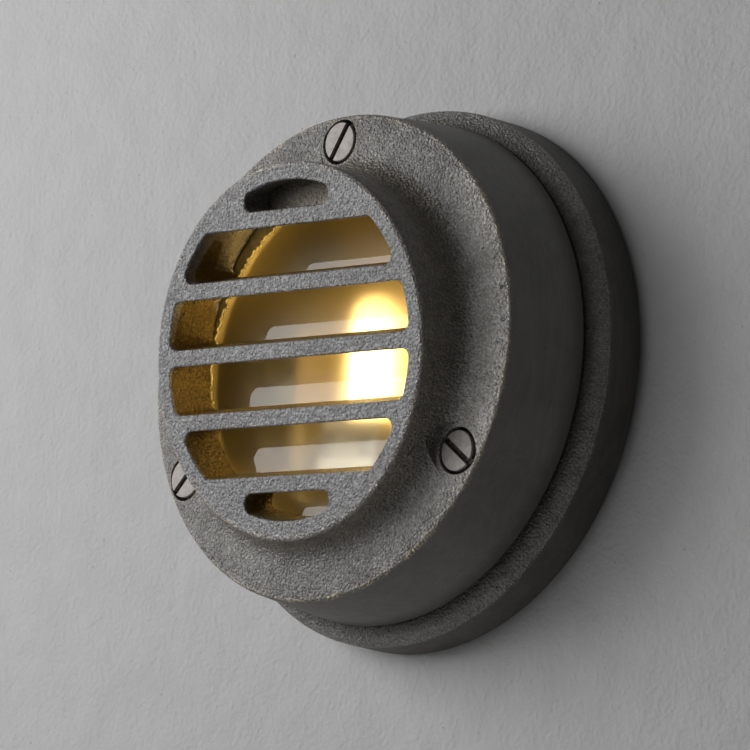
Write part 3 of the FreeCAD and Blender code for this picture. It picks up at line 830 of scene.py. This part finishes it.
@dataclass(frozen=True)
class AgedSealant:
    """Silicone sealant, clear when new, drawn glossy, opaque and bright amber: partly its yellowing, partly
    painted lamp glint.

    Size and depth are in millimetres.
    """

    name: str = "clear_silicone"
    # Bright amber: partly the silicone's yellowing, partly painted lamp glint.
    tint: Colour = (0.96, 0.82, 0.38)
    dull_share: float = 0.6
    mark_size: float = 0.9
    depth: float = 0.5
    roughness: Point = (0.05, 0.2)
    coat: float = 0.8

    def build(self, kit: EffectKit) -> Material:
        """Makes the material.

        Args:
            kit: The shared effects.

        Returns:
            The material.
        """
        material, bench, shader = new_material(self.name)
        feeds = {"Vector": bench.place(), "Size": self.mark_size * MM}
        marks = kit.use(bench, Effect.WORKED_MARKS, feeds).outputs
        feeds = {
            "Base Color": bench.blend(marks["Smudge"], self.tint, shaded(self.tint, self.dull_share)),
            "Roughness": bench.remap(marks["Height"], NOISE_LOW, NOISE_HIGH, *self.roughness),
            "Metallic": 0.0,
            "Coat Weight": self.coat,
            "Normal": bench.bump(marks["Height"], self.depth * MM),
        }
        join(bench, shader, feeds)
        return material


@dataclass(frozen=True)
class LitQuartz:
    """Frosted quartz of the burning lamp, brightest round its coil. Lengths are in millimetres."""

    name: str = "lamp_glass"
    body: Colour = (0.9, 0.88, 0.84)
    smudge: Colour = (0.8, 0.76, 0.7)
    glow: Colour = (1.0, 0.71, 0.27)
    cool: Colour = (1.0, 0.5, 0.1)
    cool_share: float = 0.12
    strength: float = 9.0
    coil_height: float = -5.0
    reach: float = 20.0
    core_share: float = 0.3
    least_glow: float = 0.2
    mark_size: float = 0.8
    roughness: Point = (0.25, 0.4)

    def build(self, kit: EffectKit) -> Material:
        """Makes the material.

        Args:
            kit: The shared effects.

        Returns:
            The material.
        """
        material, bench, shader = new_material(self.name)
        place = bench.place()
        marks = kit.use(bench, Effect.WORKED_MARKS, {"Vector": place, "Size": self.mark_size * MM}).outputs
        _, _, z = bench.parts(place)
        away = bench.math("ABSOLUTE", bench.math("SUBTRACT", z, self.coil_height * MM))
        glow = bench.remap(away, self.core_share * self.reach * MM, self.reach * MM, 1.0, self.least_glow)
        feeds = {
            "Base Color": bench.blend(marks["Smudge"], self.body, self.smudge),
            "Roughness": bench.remap(marks["Height"], NOISE_LOW, NOISE_HIGH, *self.roughness),
            "Metallic": 0.0,
            "Emission Color": bench.blend(glow, shaded(self.cool, self.cool_share), self.glow),
            "Emission Strength": self.strength,
        }
        join(bench, shader, feeds)
        return material


@dataclass(frozen=True)
class WallPaint:
    """Painted plaster seen from its front, clear from behind so that it hides nothing there.

    Stipple, speck_size and depth are in millimetres.
    """

    name: str = "wall_paint"
    tone: Colour = (0.47, 0.47, 0.47)
    speck_tone: Colour = (0.1, 0.1, 0.1)
    dull_share: float = 0.965
    speck_share: float = 0.35
    stipple: float = 1.3
    swell_size_share: float = 9.0
    speck_size: float = 1.6
    depth: float = 0.55
    swell_weight: float = 1.4
    stipple_weight: float = 0.55
    roughness: float = 0.75

    def build(self) -> Material:
        """Makes the material.

        Returns:
            The material.
        """
        material, bench, shader = new_material(self.name)
        place = bench.place()
        wide = bench.noise(place, 1 / (self.stipple * self.swell_size_share * MM), detail=3.0)
        fine = bench.noise(place, 1 / (self.stipple * MM), detail=3.0, roughness=0.55)
        specks = bench.remap(bench.noise(place, 1 / (self.speck_size * MM)), low=0.735, high=0.765)
        clouds = bench.remap(wide, NOISE_LOW, NOISE_HIGH)
        tone = bench.blend(clouds, self.tone, shaded(self.tone, self.dull_share))
        tone = bench.blend(bench.math("MULTIPLY", specks, self.speck_share), tone, self.speck_tone)
        height = bench.weighed(wide, self.swell_weight, fine, self.stipple_weight)
        normal = bench.bump(height, self.depth * MM)
        join(bench, shader, {"Base Color": tone, "Roughness": self.roughness, "Normal": normal})
        clear = bench.node("ShaderNodeBsdfTransparent")
        behind = bench.node("ShaderNodeNewGeometry").outputs["Backfacing"]
        mixed = bench.node("ShaderNodeMixShader", {0: behind, 1: shader.outputs[0], 2: clear.outputs[0]})
        output = next(node for node in bench.tree.nodes if node.type == "OUTPUT_MATERIAL")
        bench.tree.links.new(mixed.outputs[0], output.inputs["Surface"])
        return material


# Meshes

PIECE_WELD = 0.0005 * MM
SPIN_WELD = 0.001 * MM


def add_piece(name: str, shape: bmesh.types.BMesh, sharp_degrees: float = 35.0) -> Piece:
    """Object made from a bmesh, smooth but for its sharp edges.

    Args:
        name: Name of the piece.
        shape: Its mesh, which is freed.
        sharp_degrees: Angle from which an edge stays sharp.

    Returns:
        The new object at the origin.
    """
    bmesh.ops.remove_doubles(shape, verts=shape.verts[:], dist=PIECE_WELD)
    bmesh.ops.recalc_face_normals(shape, faces=shape.faces[:])
    for face in shape.faces:
        face.smooth = True
    mesh = bpy.data.meshes.new(name)
    shape.to_mesh(mesh)
    shape.free()
    mesh.set_sharp_from_angle(angle=math.radians(sharp_degrees))
    piece = bpy.data.objects.new(name, mesh)
    bpy.context.scene.collection.objects.link(piece)
    return piece


def spun(outline: list[Point], centre: Vector, steps: int, closed: bool = False) -> bmesh.types.BMesh:
    """Shape turned about an axis square to the wall.

    Args:
        outline: Radius and projection of each corner, in millimetres.
        centre: Place of the axis on the wall.
        steps: Number of flats round the axis.
        closed: Whether the outline joins its ends.

    Returns:
        The turned mesh.
    """
    shape = bmesh.new()
    corners = [shape.verts.new(centre + spot(radius, projection, 0)) for radius, projection in outline]
    edges = [shape.edges.new(pair) for pair in zip(corners, corners[1:])]
    if closed:
        edges.append(shape.edges.new((corners[-1], corners[0])))
    bmesh.ops.spin(
        shape, geom=corners + edges, cent=centre, axis=OUTWARD, angle=FULL_TURN, steps=steps, use_merge=True
    )
    bmesh.ops.remove_doubles(shape, verts=shape.verts[:], dist=SPIN_WELD)
    return shape


def rounded(corner: Point, start: Point, end: Point, steps: int = 4) -> list[Point]:
    """Points of a rounded corner of an outline.

    Args:
        corner: The corner that is rounded off.
        start: Where the rounding starts.
        end: Where it ends.
        steps: Number of chords.

    Returns:
        The points from start to end.
    """
    points = []
    for step in range(steps + 1):
        way = step / steps
        weights = ((1 - way) ** 2, 2 * way * (1 - way), way * way)
        pulls = list(zip(weights, (start, corner, end)))
        points.append(tuple(sum(weight * point[axis] for weight, point in pulls) for axis in (0, 1)))
    return points


def dress(names: Iterable[str], material: Material) -> None:
    """Gives CAD nodes a finish.

    Args:
        names: The nodes.
        material: The finish.
    """
    for name in names:
        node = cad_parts[name]
        node.data.materials.clear()
        node.data.materials.append(material)
        log.info("%s dressed in %s", name, material.name)


def settle(piece: Piece, body: str, slot: str, material: Material, replaced: Iterable[str] = ()) -> None:
    """Finishes a new piece: its material, its body and the nodes it stands for.

    Args:
        piece: The piece.
        body: The body it rides on.
        slot: The record's material slot; not used.
        material: Its finish.
        replaced: CAD nodes that it replaces.
    """
    piece.data.materials.append(material)
    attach(piece, body)
    for node in replaced:
        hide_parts(node)
    log.info("%s made, %d faces, rides on %s", piece.name, len(piece.data.polygons), body)


# Sub-assemblies


@dataclass(frozen=True)
class MouldMark:
    """Rough ridge of metal that the mould left.

    Its centre is X, projection and Z, and half holds its half length, height and width, all in millimetres.
    """

    name: str
    body: str
    metal: str
    centre: Triple
    along: Triple
    out: Triple
    half: Triple


@dataclass
class CastBody:
    """Front shell and back plate, with the marks that the mould left on them. Sizes are in millimetres."""

    kit: EffectKit
    seed: int = 11
    lumps: int = 14
    lump_sharpness: int = 6
    core_share: float = 0.8
    lump_share: float = 0.12
    marks: tuple[MouldMark, ...] = (
        MouldMark(
            name="neck_flash",
            body="cover",
            metal="shell_bronze",
            centre=(39.4, 40.4, -10.3),
            along=(-1.45, 2.28, -6.08),
            out=(1, -0.25, -0.2),
            half=(3.3, 0.55, 0.5),
        ),
        MouldMark(
            name="neck_scar",
            body="cover",
            metal="shell_bronze",
            centre=(34.1, 39.9, -23.4),
            along=(-1.6, -0.6, -2.4),
            out=(1, -0.4, -0.6),
            half=(1.5, 0.5, 0.45),
        ),
        MouldMark(
            name="flange_nub",
            body="base",
            metal="plate_bronze",
            centre=(15.7, 10.6, 57.0),
            along=(3.6, 0, -1.0),
            out=(0.22, -0.55, 0.81),
            half=(1.9, 0.5, 0.6),
        ),
    )
    shell: CastBronze = CastBronze(
        name="shell_bronze",
        light=(0.26, 0.252, 0.243),
        dark=(0.135, 0.129, 0.122),
        face=(0.3, 0.295, 0.295),
        rubbed=(0.72, 0.6, 0.4),
        side_projection=33.65,
        side_radius=53.2,
        # Painted shade: dark bands in the valley at the flange's foot and round the foot of the neck.
        painted_shade_rings=(
            WearAndShadeRim(radius=55.7, projection=13.4, width=5.5, strength=0.6),
            WearAndShadeRim(radius=41.5, projection=36.5, drop=0.9, width=4.5, strength=0.35),
        ),
        zones=(
            Zone(radius=60.0, start=33.7, end=41.0, tone=(0.385, 0.37, 0.35), fade=4.0),
            # Painted light: the right side of the ring drawn about twice as light as the rest.
            Zone(
                radius=60.0, start=33.7, end=41.0, tone=(0.74, 0.71, 0.665), left=30.0, fade=4.0, spread=21.0
            ),
            Zone(radius=45.0, start=35.0, end=48.0, tone=(0.38, 0.345, 0.285), fade=1.0, rim=4.5),
            # These three golden tones are partly the bronze's own colour and partly painted lamp light: on
            # the walls of the openings below the top one, in the glass's recess and in the lamp chamber.
            Zone(radius=37.6, start=33.0, end=46.0, tone=(0.22, 0.152, 0.042), top=25.8),
            Zone(radius=41.4, start=20.0, end=34.2, tone=(0.44, 0.335, 0.1)),
            Zone(radius=52.0, start=12.0, end=30.3, tone=(0.48, 0.365, 0.11)),
        ),
        blasted_face=True,
        rims=(
            WearAndShadeRim(radius=40.3, projection=46.6, drop=0.9, lean=7.4, width=0.9, strength=0.75),
            WearAndShadeRim(radius=53.2, projection=33.95, width=1.1, strength=1.0),
            WearAndShadeRim(radius=5.1, projection=34.6, across=-1.41, drop=-47.58, width=0.8, strength=0.7),
            WearAndShadeRim(radius=5.1, projection=34.6, across=41.91, drop=22.57, width=0.8, strength=0.7),
            WearAndShadeRim(radius=5.1, projection=34.6, across=-40.5, drop=25.01, width=0.8, strength=0.7),
        ),
    )
    plate: CastBronze = CastBronze(
        name="plate_bronze",
        light=(0.27, 0.264, 0.256),
        dark=(0.09, 0.086, 0.082),
        face=(0.3, 0.3, 0.3),
        rubbed=(0.5, 0.42, 0.27),
        side_projection=9.1,
        side_radius=59.6,
        # Painted shade: the flange's outer side darkened.
        side_painted_shade=0.35,
        # Painted shade: a dark band in the valley at the shell's foot.
        painted_shade_rings=(WearAndShadeRim(radius=55.7, projection=13.0, width=4.0, strength=0.7),),
        zones=(
            Zone(radius=61.0, start=9.4, end=16.0, tone=(0.34, 0.328, 0.314)),
            # Golden tone inside the chamber: partly the bronze's own colour, partly painted lamp light.
            Zone(radius=51.7, start=8.2, end=22.0, tone=(0.48, 0.365, 0.11)),
        ),
        rims=(WearAndShadeRim(radius=59.7, projection=9.4, width=0.8, strength=0.6),),
    )

    def build(self) -> None:
        """Dresses the castings and adds the mould's marks."""
        metals = {finish.name: finish.build(self.kit) for finish in (self.shell, self.plate)}
        dress(["front_shell"], metals["shell_bronze"])
        dress(["base_plate"], metals["plate_bronze"])
        for mark in self.marks:
            settle(self._ridge(mark), mark.body, mark.metal, metals[mark.metal])

    def _ridge(self, mark: MouldMark) -> Piece:
        """One ridge, lumpy all round.

        Args:
            mark: Its place and sizes.

        Returns:
            The piece.
        """
        shape = bmesh.new()
        bmesh.ops.create_icosphere(shape, subdivisions=4, radius=1.0)
        dice = random.Random(self.seed + len(mark.name))
        lumps = [Vector([dice.uniform(-1, 1) for _ in range(3)]).normalized() for _ in range(self.lumps)]
        for vert in shape.verts:
            swell = sum(max(0.0, vert.co.dot(lump)) ** self.lump_sharpness for lump in lumps)
            vert.co *= self.core_share + self.lump_share * swell
        out = Vector(mark.out)
        length = Vector(mark.along).normalized()
        height = (out - length * out.dot(length)).normalized()
        width = length.cross(height)
        axes = Matrix((length * mark.half[0], height * mark.half[1], width * mark.half[2])).transposed() * MM
        place = Matrix.Translation(spot(*mark.centre)) @ axes.to_4x4()
        bmesh.ops.transform(shape, matrix=place, verts=shape.verts[:])
        return add_piece(mark.name, shape, sharp_degrees=80.0)


@dataclass
class LensPack:
    """The glass, its sealing ring, rear gasket and clamp ring, and the rubber seals. Sizes are in
    millimetres.
    """

    kit: EffectKit
    lens_front: float = 33.6
    seat: float = 34.2
    sealing_radius: float = 41.0
    opening_radius: float = 36.6
    lip: float = 0.35
    seat_land: float = 0.35
    lip_top: float = 0.05
    lip_start: float = 0.04
    lip_round: float = 0.3
    foot_round: float = 0.2
    foot_reach: float = 0.15
    ripple: float = 2.6
    ripple_limits: Point = (-0.25, 0.1)
    ripple_band: float = 0.2
    waves: int = 34
    wave_counts: tuple[int, int] = (8, 190)
    wave_sizes: Point = (0.3, 1.0)
    steps: int = 720
    seed: int = 5
    rubber: WorkedFinish = WorkedFinish(
        name="black_rubber",
        base=(0.035, 0.035, 0.036),
        soiled=(0.09, 0.088, 0.082),
        size=0.5,
        depth=0.02,
        soil=0.55,
        roughness=0.72,
    )
    # Painted lamp light: the steel clamp ring drawn in a warm gold tone instead of grey, so that it looks lit
    # by the lamp.
    clamp_steel: WorkedFinish = WorkedFinish(
        name="clamp_steel",
        base=(0.72, 0.62, 0.42),
        soiled=(0.5, 0.4, 0.24),
        run=Run.ALONG_X,
        size=0.35,
        depth=0.012,
        roughness=0.45,
        metallic=0.3,
    )

    def build(self) -> None:
        """Dresses the nodes and lays the sealing ring."""
        dress(["lens"], LensGlass().build(self.kit))
        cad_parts["lens"].visible_shadow = False
        dress(["shell_seal", "wall_gasket", "cable_grommet"], self.rubber.build(self.kit))
        dress(["lens_clamp_ring"], self.clamp_steel.build(self.kit))
        sealant = AgedSealant().build(self.kit)
        dress(["lens_rear_gasket"], sealant)
        settle(self._sealing_ring(), "cover", "clear_silicone", sealant, ["lens_front_gasket"])

    def _sealing_ring(self) -> Piece:
        """Cloudy ring between seat and glass, with a squeezed-out lip at the openings.

        Returns:
            The piece.
        """
        inner, seat, front = self.opening_radius, self.seat, self.lens_front
        edge = inner - self.lip
        outline = [(self.sealing_radius, front), (self.sealing_radius, seat), (inner + self.seat_land, seat)]
        lip_start = (inner, seat - self.lip_start)
        outline += rounded((edge, seat - self.lip_top), lip_start, (edge, seat - self.lip_round))
        outline += rounded((edge, front), (edge, front + self.foot_round), (edge - self.foot_reach, front))
        shape = spun(outline, ORIGIN, self.steps, closed=True)
        dice = random.Random(self.seed)
        waves = [
            (dice.randint(*self.wave_counts), dice.uniform(0, FULL_TURN), dice.uniform(*self.wave_sizes))
            for _ in range(self.waves)
        ]
        weight = sum(size for _, _, size in waves)
        least, most = self.ripple_limits
        for vert in shape.verts:
            radius = math.hypot(vert.co.x, vert.co.z)
            if radius > (inner + self.ripple_band) * MM:
                continue
            angle = math.atan2(vert.co.z, vert.co.x)
            ripple = sum(size * math.sin(count * angle + start) for count, start, size in waves) / weight
            share = 1 + self.ripple * min(max(ripple, least), most) * MM / radius
            vert.co.x *= share
            vert.co.z *= share
        return add_piece("lens_sealing_ring", shape, sharp_degrees=50.0)


class Side(Enum):
    """The three cover screws, each with its slot's turn in degrees."""

    TOP = 60.4
    RIGHT = 144.3
    LEFT = 48.5

    @property
    def label(self) -> str:
        """Name of the side in the frame."""
        return self.name.lower()


@dataclass
class CoverScrews:
    """Slotted cheese-head screws with real threads, and their washers. Sizes are in millimetres."""

    kit: EffectKit
    circle_radius: float = 47.6
    first_degrees: float = 91.7
    head_radius: float = 4.35
    head_top: float = 34.9
    head_height: float = 3.3
    head_edge: float = 0.25
    slot_width: float = 1.4
    slot_depth: float = 1.6
    flat_share: float = 0.6
    under_edge: float = 0.15
    length: float = 29.4
    tip_radius: float = 1.7
    tip_length: float = 0.6
    crest_radius: float = 2.5
    root_radius: float = 2.06
    pitch: float = 0.8
    plain_length: float = 1.6
    run_out: float = 0.3
    ridge_start: float = 0.2
    ridge_end: float = 0.3
    ridge_foot: float = 0.38
    ridge_crest: float = 0.06
    ridge_sink: float = 0.08
    crest_gap: float = 0.02
    flats: int = 72
    steps_per_turn: int = 20
    fibre: WorkedFinish = WorkedFinish(
        name="washer_fibre",
        base=(0.06, 0.045, 0.035),
        soiled=(0.02, 0.018, 0.016),
        run=Run.FIBROUS,
        size=0.4,
        depth=0.03,
        roughness=0.7,
    )

    def build(self) -> None:
        """Makes the three screws and dresses their washers."""
        metal = ScrewMetal(face_projection=self.head_top).build(self.kit)
        step = 360 / len(Side)
        for index, side in enumerate(Side):
            angle = math.radians(self.first_degrees - step * index)
            centre = Vector((math.cos(angle), 0, math.sin(angle))) * self.circle_radius * MM
            screw = self._screw(f"slotted_screw_{side.label}", centre, side.value)
            settle(screw, f"{side.label}_screw", "cover_screw_metal", metal, [f"cover_screw_{side.label}"])
        dress([f"screw_washer_{side.label}" for side in Side], self.fibre.build(self.kit))

    def _screw(self, name: str, centre: Vector, slot_degrees: float) -> Piece:
        """One screw.

        Args:
            name: Name of the piece.
            centre: Place of its axis on the wall.
            slot_degrees: Turn of its slot from +X towards +Z.

        Returns:
            The piece.
        """
        radius, edge, low_edge = self.head_radius, self.head_edge, self.under_edge
        top, under = self.head_top, self.head_top - self.head_height
        neck, tip = under - self.plain_length, under - self.length
        outline = [(0.0, top), (radius * self.flat_share, top)]
        outline += rounded((radius, top), (radius - edge, top), (radius, top - edge))
        outline += rounded((radius, under), (radius, under + low_edge), (radius - low_edge, under), steps=2)
        outline += [(self.crest_radius, under), (self.crest_radius, neck)]
        outline += [(self.root_radius, neck - self.run_out), (self.root_radius, tip + self.tip_length)]
        outline += [(self.tip_radius, tip), (0.0, tip)]
        blank = add_piece(name + "_blank", spun(outline, centre, self.flats))
        cutter = self._slot_cutter(centre, slot_degrees)
        cut = blank.modifiers.new("slot", "BOOLEAN")
        cut.operation, cut.solver, cut.object = "DIFFERENCE", "EXACT", cutter
        evaluated = blank.evaluated_get(bpy.context.evaluated_depsgraph_get())
        shape = bmesh.new()
        shape.from_mesh(evaluated.to_mesh())
        self._add_thread(shape, centre, neck - self.ridge_start, tip + self.ridge_end)
        for spare in (blank, cutter):
            bpy.data.objects.remove(spare)
        return add_piece(name, shape)

    def _slot_cutter(self, centre: Vector, slot_degrees: float) -> Piece:
        """Box that cuts the driver slot.

        Args:
            centre: Place of the screw's axis on the wall.
            slot_degrees: Turn of the slot from +X towards +Z.

        Returns:
            The box.
        """
        shape = bmesh.new()
        bmesh.ops.create_cube(shape, size=1.0)
        size = Vector((self.head_radius * 3, self.slot_depth * 2, self.slot_width)) * MM
        bmesh.ops.scale(shape, vec=size, verts=shape.verts[:])
        turn = Matrix.Rotation(math.radians(slot_degrees), 4, OUTWARD)
        lift = Matrix.Translation(centre + spot(0, self.head_top, 0))
        bmesh.ops.transform(shape, matrix=lift @ turn, verts=shape.verts[:])
        return add_piece("slot_cutter", shape)

    def _add_thread(self, shape: bmesh.types.BMesh, centre: Vector, start: float, end: float) -> None:
        """Adds a right-handed thread ridge round the shank.

        Args:
            shape: The screw's mesh.
            centre: Place of the axis on the wall.
            start: Projection where the thread ends under the head.
            end: Projection of its first turn at the tip.
        """
        turns = (start - end - self.pitch) / self.pitch
        steps = round(turns * self.steps_per_turn)
        root, crest = self.root_radius - self.ridge_sink, self.crest_radius - self.crest_gap
        foot, flat = self.ridge_foot, self.ridge_crest
        ridge = [(root, -foot), (crest, -flat), (crest, flat), (root, foot)]
        middle = end + self.pitch / 2
        corners = [shape.verts.new(centre + spot(radius, middle + off, 0)) for radius, off in ridge]
        section = shape.faces.new(corners)
        advance = OUTWARD * self.pitch * MM * turns / steps
        angle = FULL_TURN * turns
        bmesh.ops.spin(
            shape, geom=[section], cent=centre, axis=OUTWARD, dvec=advance, angle=angle, steps=steps
        )


@dataclass
class Lamp:
    """The capsule lamp with its wound coil and pins. Sizes are in millimetres."""

    kit: EffectKit
    projection: float = 18.1
    coil_height: float = 6.0
    coil_half_length: float = 1.7
    coil_radius: float = 0.62
    wire_radius: float = 0.11
    turns: int = 11
    steps_per_turn: int = 16
    wire_sides: int = 8
    leg_sides: int = 10
    leg_bottom: float = -3.2
    wire: WorkedFinish = WorkedFinish(
        name="drawn_wire",
        base=(0.6, 0.58, 0.55),
        soiled=(0.35, 0.32, 0.3),
        run=Run.ALONG_Z,
        size=0.2,
        depth=0.004,
        roughness=0.3,
        metallic=1.0,
    )

    def build(self) -> None:
        """Dresses the lamp and winds its coil."""
        dress(["lamp_capsule"], LitQuartz().build(self.kit))
        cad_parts["lamp_capsule"].visible_shadow = False
        metal = self.wire.build(self.kit)
        dress(["lamp_pins"], metal)
        settle(self._coil(), "lamp", "lamp_tungsten", metal, ["lamp_filament"])

    def _coil(self) -> Piece:
        """Coil wound along X on two legs.

        Returns:
            The piece.
        """
        shape = bmesh.new()
        axis = Vector((1, 0, 0))
        start = spot(-self.coil_half_length, self.projection, self.coil_height)
        self._wire_end(shape, start + Vector((0, 0, self.coil_radius * MM)), Vector((0, 1, 0)))
        steps = self.turns * self.steps_per_turn
        advance = axis * 2 * self.coil_half_length * MM / steps
        angle = FULL_TURN * self.turns
        bmesh.ops.spin(
            shape, geom=shape.faces[:], cent=start, axis=axis, dvec=advance, angle=angle, steps=steps
        )
        height = (self.coil_height - self.coil_radius - self.leg_bottom) * MM
        thick = 2 * self.wire_radius * MM
        feeds = {"segments": self.leg_sides, "radius1": thick, "radius2": thick, "depth": height}
        for side in (-1, 1):
            foot = spot(side * self.coil_half_length, self.projection, self.leg_bottom)
            middle = Matrix.Translation(foot + Vector((0, 0, height / 2)))
            bmesh.ops.create_cone(shape, cap_ends=True, matrix=middle, **feeds)
        return add_piece("lamp_coil", shape)

    def _wire_end(self, shape: bmesh.types.BMesh, centre: Vector, along: Vector) -> None:
        """Adds the round end face of the coil's wire.

        Args:
            shape: The coil's mesh.
            centre: Middle of the face.
            along: Direction of the wire there.
        """
        turn = along.to_track_quat("Z", "X").to_matrix().to_4x4()
        place = Matrix.Translation(centre) @ turn
        radius = self.wire_radius * MM
        bmesh.ops.create_circle(shape, cap_ends=True, segments=self.wire_sides, radius=radius, matrix=place)


@dataclass
class Wiring:
    """Lamp holder, terminal block, their screws and the leads."""

    kit: EffectKit
    ceramic: WorkedFinish = WorkedFinish(
        name="holder_ceramic",
        base=(0.8, 0.77, 0.7),
        soiled=(0.55, 0.48, 0.38),
        size=1.6,
        depth=0.02,
        soil=0.45,
        roughness=0.35,
        coat=0.4,
    )
    plastic: WorkedFinish = WorkedFinish(
        name="block_plastic",
        base=(0.06, 0.045, 0.035),
        soiled=(0.12, 0.1, 0.08),
        size=0.5,
        depth=0.015,
        soil=0.4,
        roughness=0.45,
    )
    brass: WorkedFinish = WorkedFinish(
        name="contact_brass",
        base=(0.74, 0.56, 0.26),
        soiled=(0.42, 0.28, 0.12),
        run=Run.ALONG_Z,
        size=0.3,
        depth=0.008,
        roughness=0.3,
        metallic=1.0,
    )
    steel: WorkedFinish = WorkedFinish(
        name="small_screw_steel",
        base=(0.6, 0.6, 0.58),
        soiled=(0.38, 0.35, 0.3),
        size=0.35,
        depth=0.012,
        roughness=0.36,
        metallic=1.0,
    )
    sleeve: WorkedFinish = WorkedFinish(
        name="lead_sleeve",
        base=(0.78, 0.75, 0.66),
        soiled=(0.5, 0.44, 0.33),
        run=Run.FIBROUS,
        size=0.35,
        depth=0.06,
        soil=0.6,
        roughness=0.75,
    )

    def build(self) -> None:
        """Dresses the nodes."""
        screws = ("clamp_ring_screws", "holder_screws", "terminal_screws", "terminal_block_screw")
        dressing = (
            (self.ceramic, ("lamp_holder",)),
            (self.plastic, ("terminal_block",)),
            (self.brass, ("terminal_inserts", "lamp_holder_contacts")),
            (self.steel, screws),
            (self.sleeve, ("lamp_lead_left", "lamp_lead_right")),
        )
        for finish, nodes in dressing:
            dress(nodes, finish.build(self.kit))


# Studio


@dataclass
class Stage:
    """The painted wall with a hole behind the light, and the pale floor. Sizes are in metres."""

    kit: EffectKit
    hole_radius: float = 0.0585
    wall_radius: float = 3.0
    wall_gap: float = 0.0003
    floor_drop: float = 0.45
    floor_half: float = 4.0
    hole_sides: int = 128
    pale: WorkedFinish = WorkedFinish(
        name="pale_floor",
        base=(0.72, 0.72, 0.71),
        soiled=(0.66, 0.66, 0.65),
        size=6.0,
        depth=0.05,
        roughness=0.7,
    )

    def build(self) -> None:
        """Makes the wall and the floor."""
        wall = self._stage_piece("wall", self._wall_mesh(), WallPaint().build())
        shape = bmesh.new()
        drop = Matrix.Translation((0, 0, -self.floor_drop))
        bmesh.ops.create_grid(shape, x_segments=1, y_segments=1, size=self.floor_half, matrix=drop)
        floor = self._stage_piece("floor", shape, self.pale.build(self.kit))

    def _wall_mesh(self) -> bmesh.types.BMesh:
        """Wide flat ring round the hole, with its faces towards the viewer.

        Returns:
            The wall's mesh.
        """
        shape = bmesh.new()
        turn = Matrix.Rotation(math.radians(90), 4, "X")
        place = Matrix.Translation((0, self.wall_gap, 0)) @ turn
        bmesh.ops.create_circle(
            shape, cap_ends=False, segments=self.hole_sides, radius=self.hole_radius, matrix=place
        )
        outer = bmesh.ops.extrude_edge_only(shape, edges=shape.edges[:])["geom"]
        rim = [item for item in outer if isinstance(item, bmesh.types.BMVert)]
        grow = self.wall_radius / self.hole_radius
        bmesh.ops.scale(shape, vec=(grow, 1, grow), verts=rim)
        for face in shape.faces:
            face.normal_update()
            if face.normal.y > 0:
                face.normal_flip()
        return shape

    @staticmethod
    def _stage_piece(name: str, shape: bmesh.types.BMesh, material: Material) -> Piece:
        """Object of the stage from a mesh.

        Args:
            name: Its name.
            shape: Its mesh, which is freed.
            material: Its finish.

        Returns:
            The object.
        """
        mesh = bpy.data.meshes.new(name)
        shape.to_mesh(mesh)
        shape.free()
        piece = bpy.data.objects.new(name, mesh)
        bpy.context.scene.collection.objects.link(piece)
        piece.data.materials.append(material)
        return piece


@dataclass(frozen=True)
class Softbox:
    """A square soft light. Place and size are in metres, and radiance 1 is white."""

    name: str
    place: Triple
    target: Triple
    size: float
    radiance: float
    colour: Colour = (1.0, 1.0, 1.0)

    def build(self) -> Piece:
        """Makes the light.

        Returns:
            The light's object.
        """
        data = bpy.data.lights.new(self.name, "AREA")
        data.shape = "SQUARE"
        data.size = self.size
        data.energy = self.radiance * math.pi * self.size**2
        data.color = self.colour
        light = bpy.data.objects.new(self.name, data)
        bpy.context.scene.collection.objects.link(light)
        place = Vector(self.place)
        light.location = place
        light.rotation_mode = "QUATERNION"
        light.rotation_quaternion = (Vector(self.target) - place).to_track_quat("-Z", "Y")
        log.info("light %s of %.1f W", self.name, data.energy)
        return light


@dataclass
class Studio:
    """Lights and surroundings."""

    surroundings: Colour = (0.05, 0.05, 0.052)
    lights: tuple[Softbox, ...] = (
        Softbox("key_light", (-0.46, -0.45, 0.13), (0, 0, 0.01), 0.4, 5.8),
        Softbox("front_light", (-0.234, -0.855, 0.135), (0, 0, 0), 0.5, 2.3),
        Softbox("rear_light", (-0.5, 0.8, 0.5), (0, 0, 0), 0.7, 3.5),
    )

    def build(self) -> None:
        """Makes the lights and the world."""
        world = bpy.data.worlds.new("studio")
        world.use_nodes = True
        background = world.node_tree.nodes["Background"]
        background.inputs["Color"].default_value = (*self.surroundings, 1)
        background.inputs["Strength"].default_value = 1.0
        bpy.context.scene.world = world
        bpy.context.scene.view_settings.view_transform = "Standard"
        for light in self.lights:
            light.build()


@dataclass(frozen=True)
class PhotoCamera:
    """Camera at the photograph's place.

    Place and clip are in metres, the focal length and the frame's width in millimetres.
    """

    place: Triple = (0.697035, -0.710407, -0.169069)
    turn_degrees: Triple = (99.738358, -5.029795, 44.372828)
    focal_length: float = 219.566
    frame_width: float = 36.0
    clip: Point = (0.05, 50.0)

    def build(self) -> None:
        """Makes the camera and gives it to the scene."""
        data = bpy.data.cameras.new("photo_camera")
        data.lens = self.focal_length
        data.sensor_width = self.frame_width
        data.clip_start, data.clip_end = self.clip
        camera = bpy.data.objects.new("photo_camera", data)
        bpy.context.scene.collection.objects.link(camera)
        camera.location = self.place
        camera.rotation_euler = Euler([math.radians(angle) for angle in self.turn_degrees], "XYZ")
        bpy.context.scene.camera = camera


def main() -> None:
    """Builds every sub-assembly in order."""
    logging.basicConfig(level=logging.INFO, format="%(name)s: %(message)s")
    PhotoCamera().build()
    kit = EffectKit()
    assemblies = (
        CastBody(kit), LensPack(kit), CoverScrews(kit), Lamp(kit), Wiring(kit), Stage(kit), Studio()
    )
    for assembly in assemblies:
        assembly.build()
        log.info("%s finished", type(assembly).__name__)


if __name__ == "__main__":
    main()
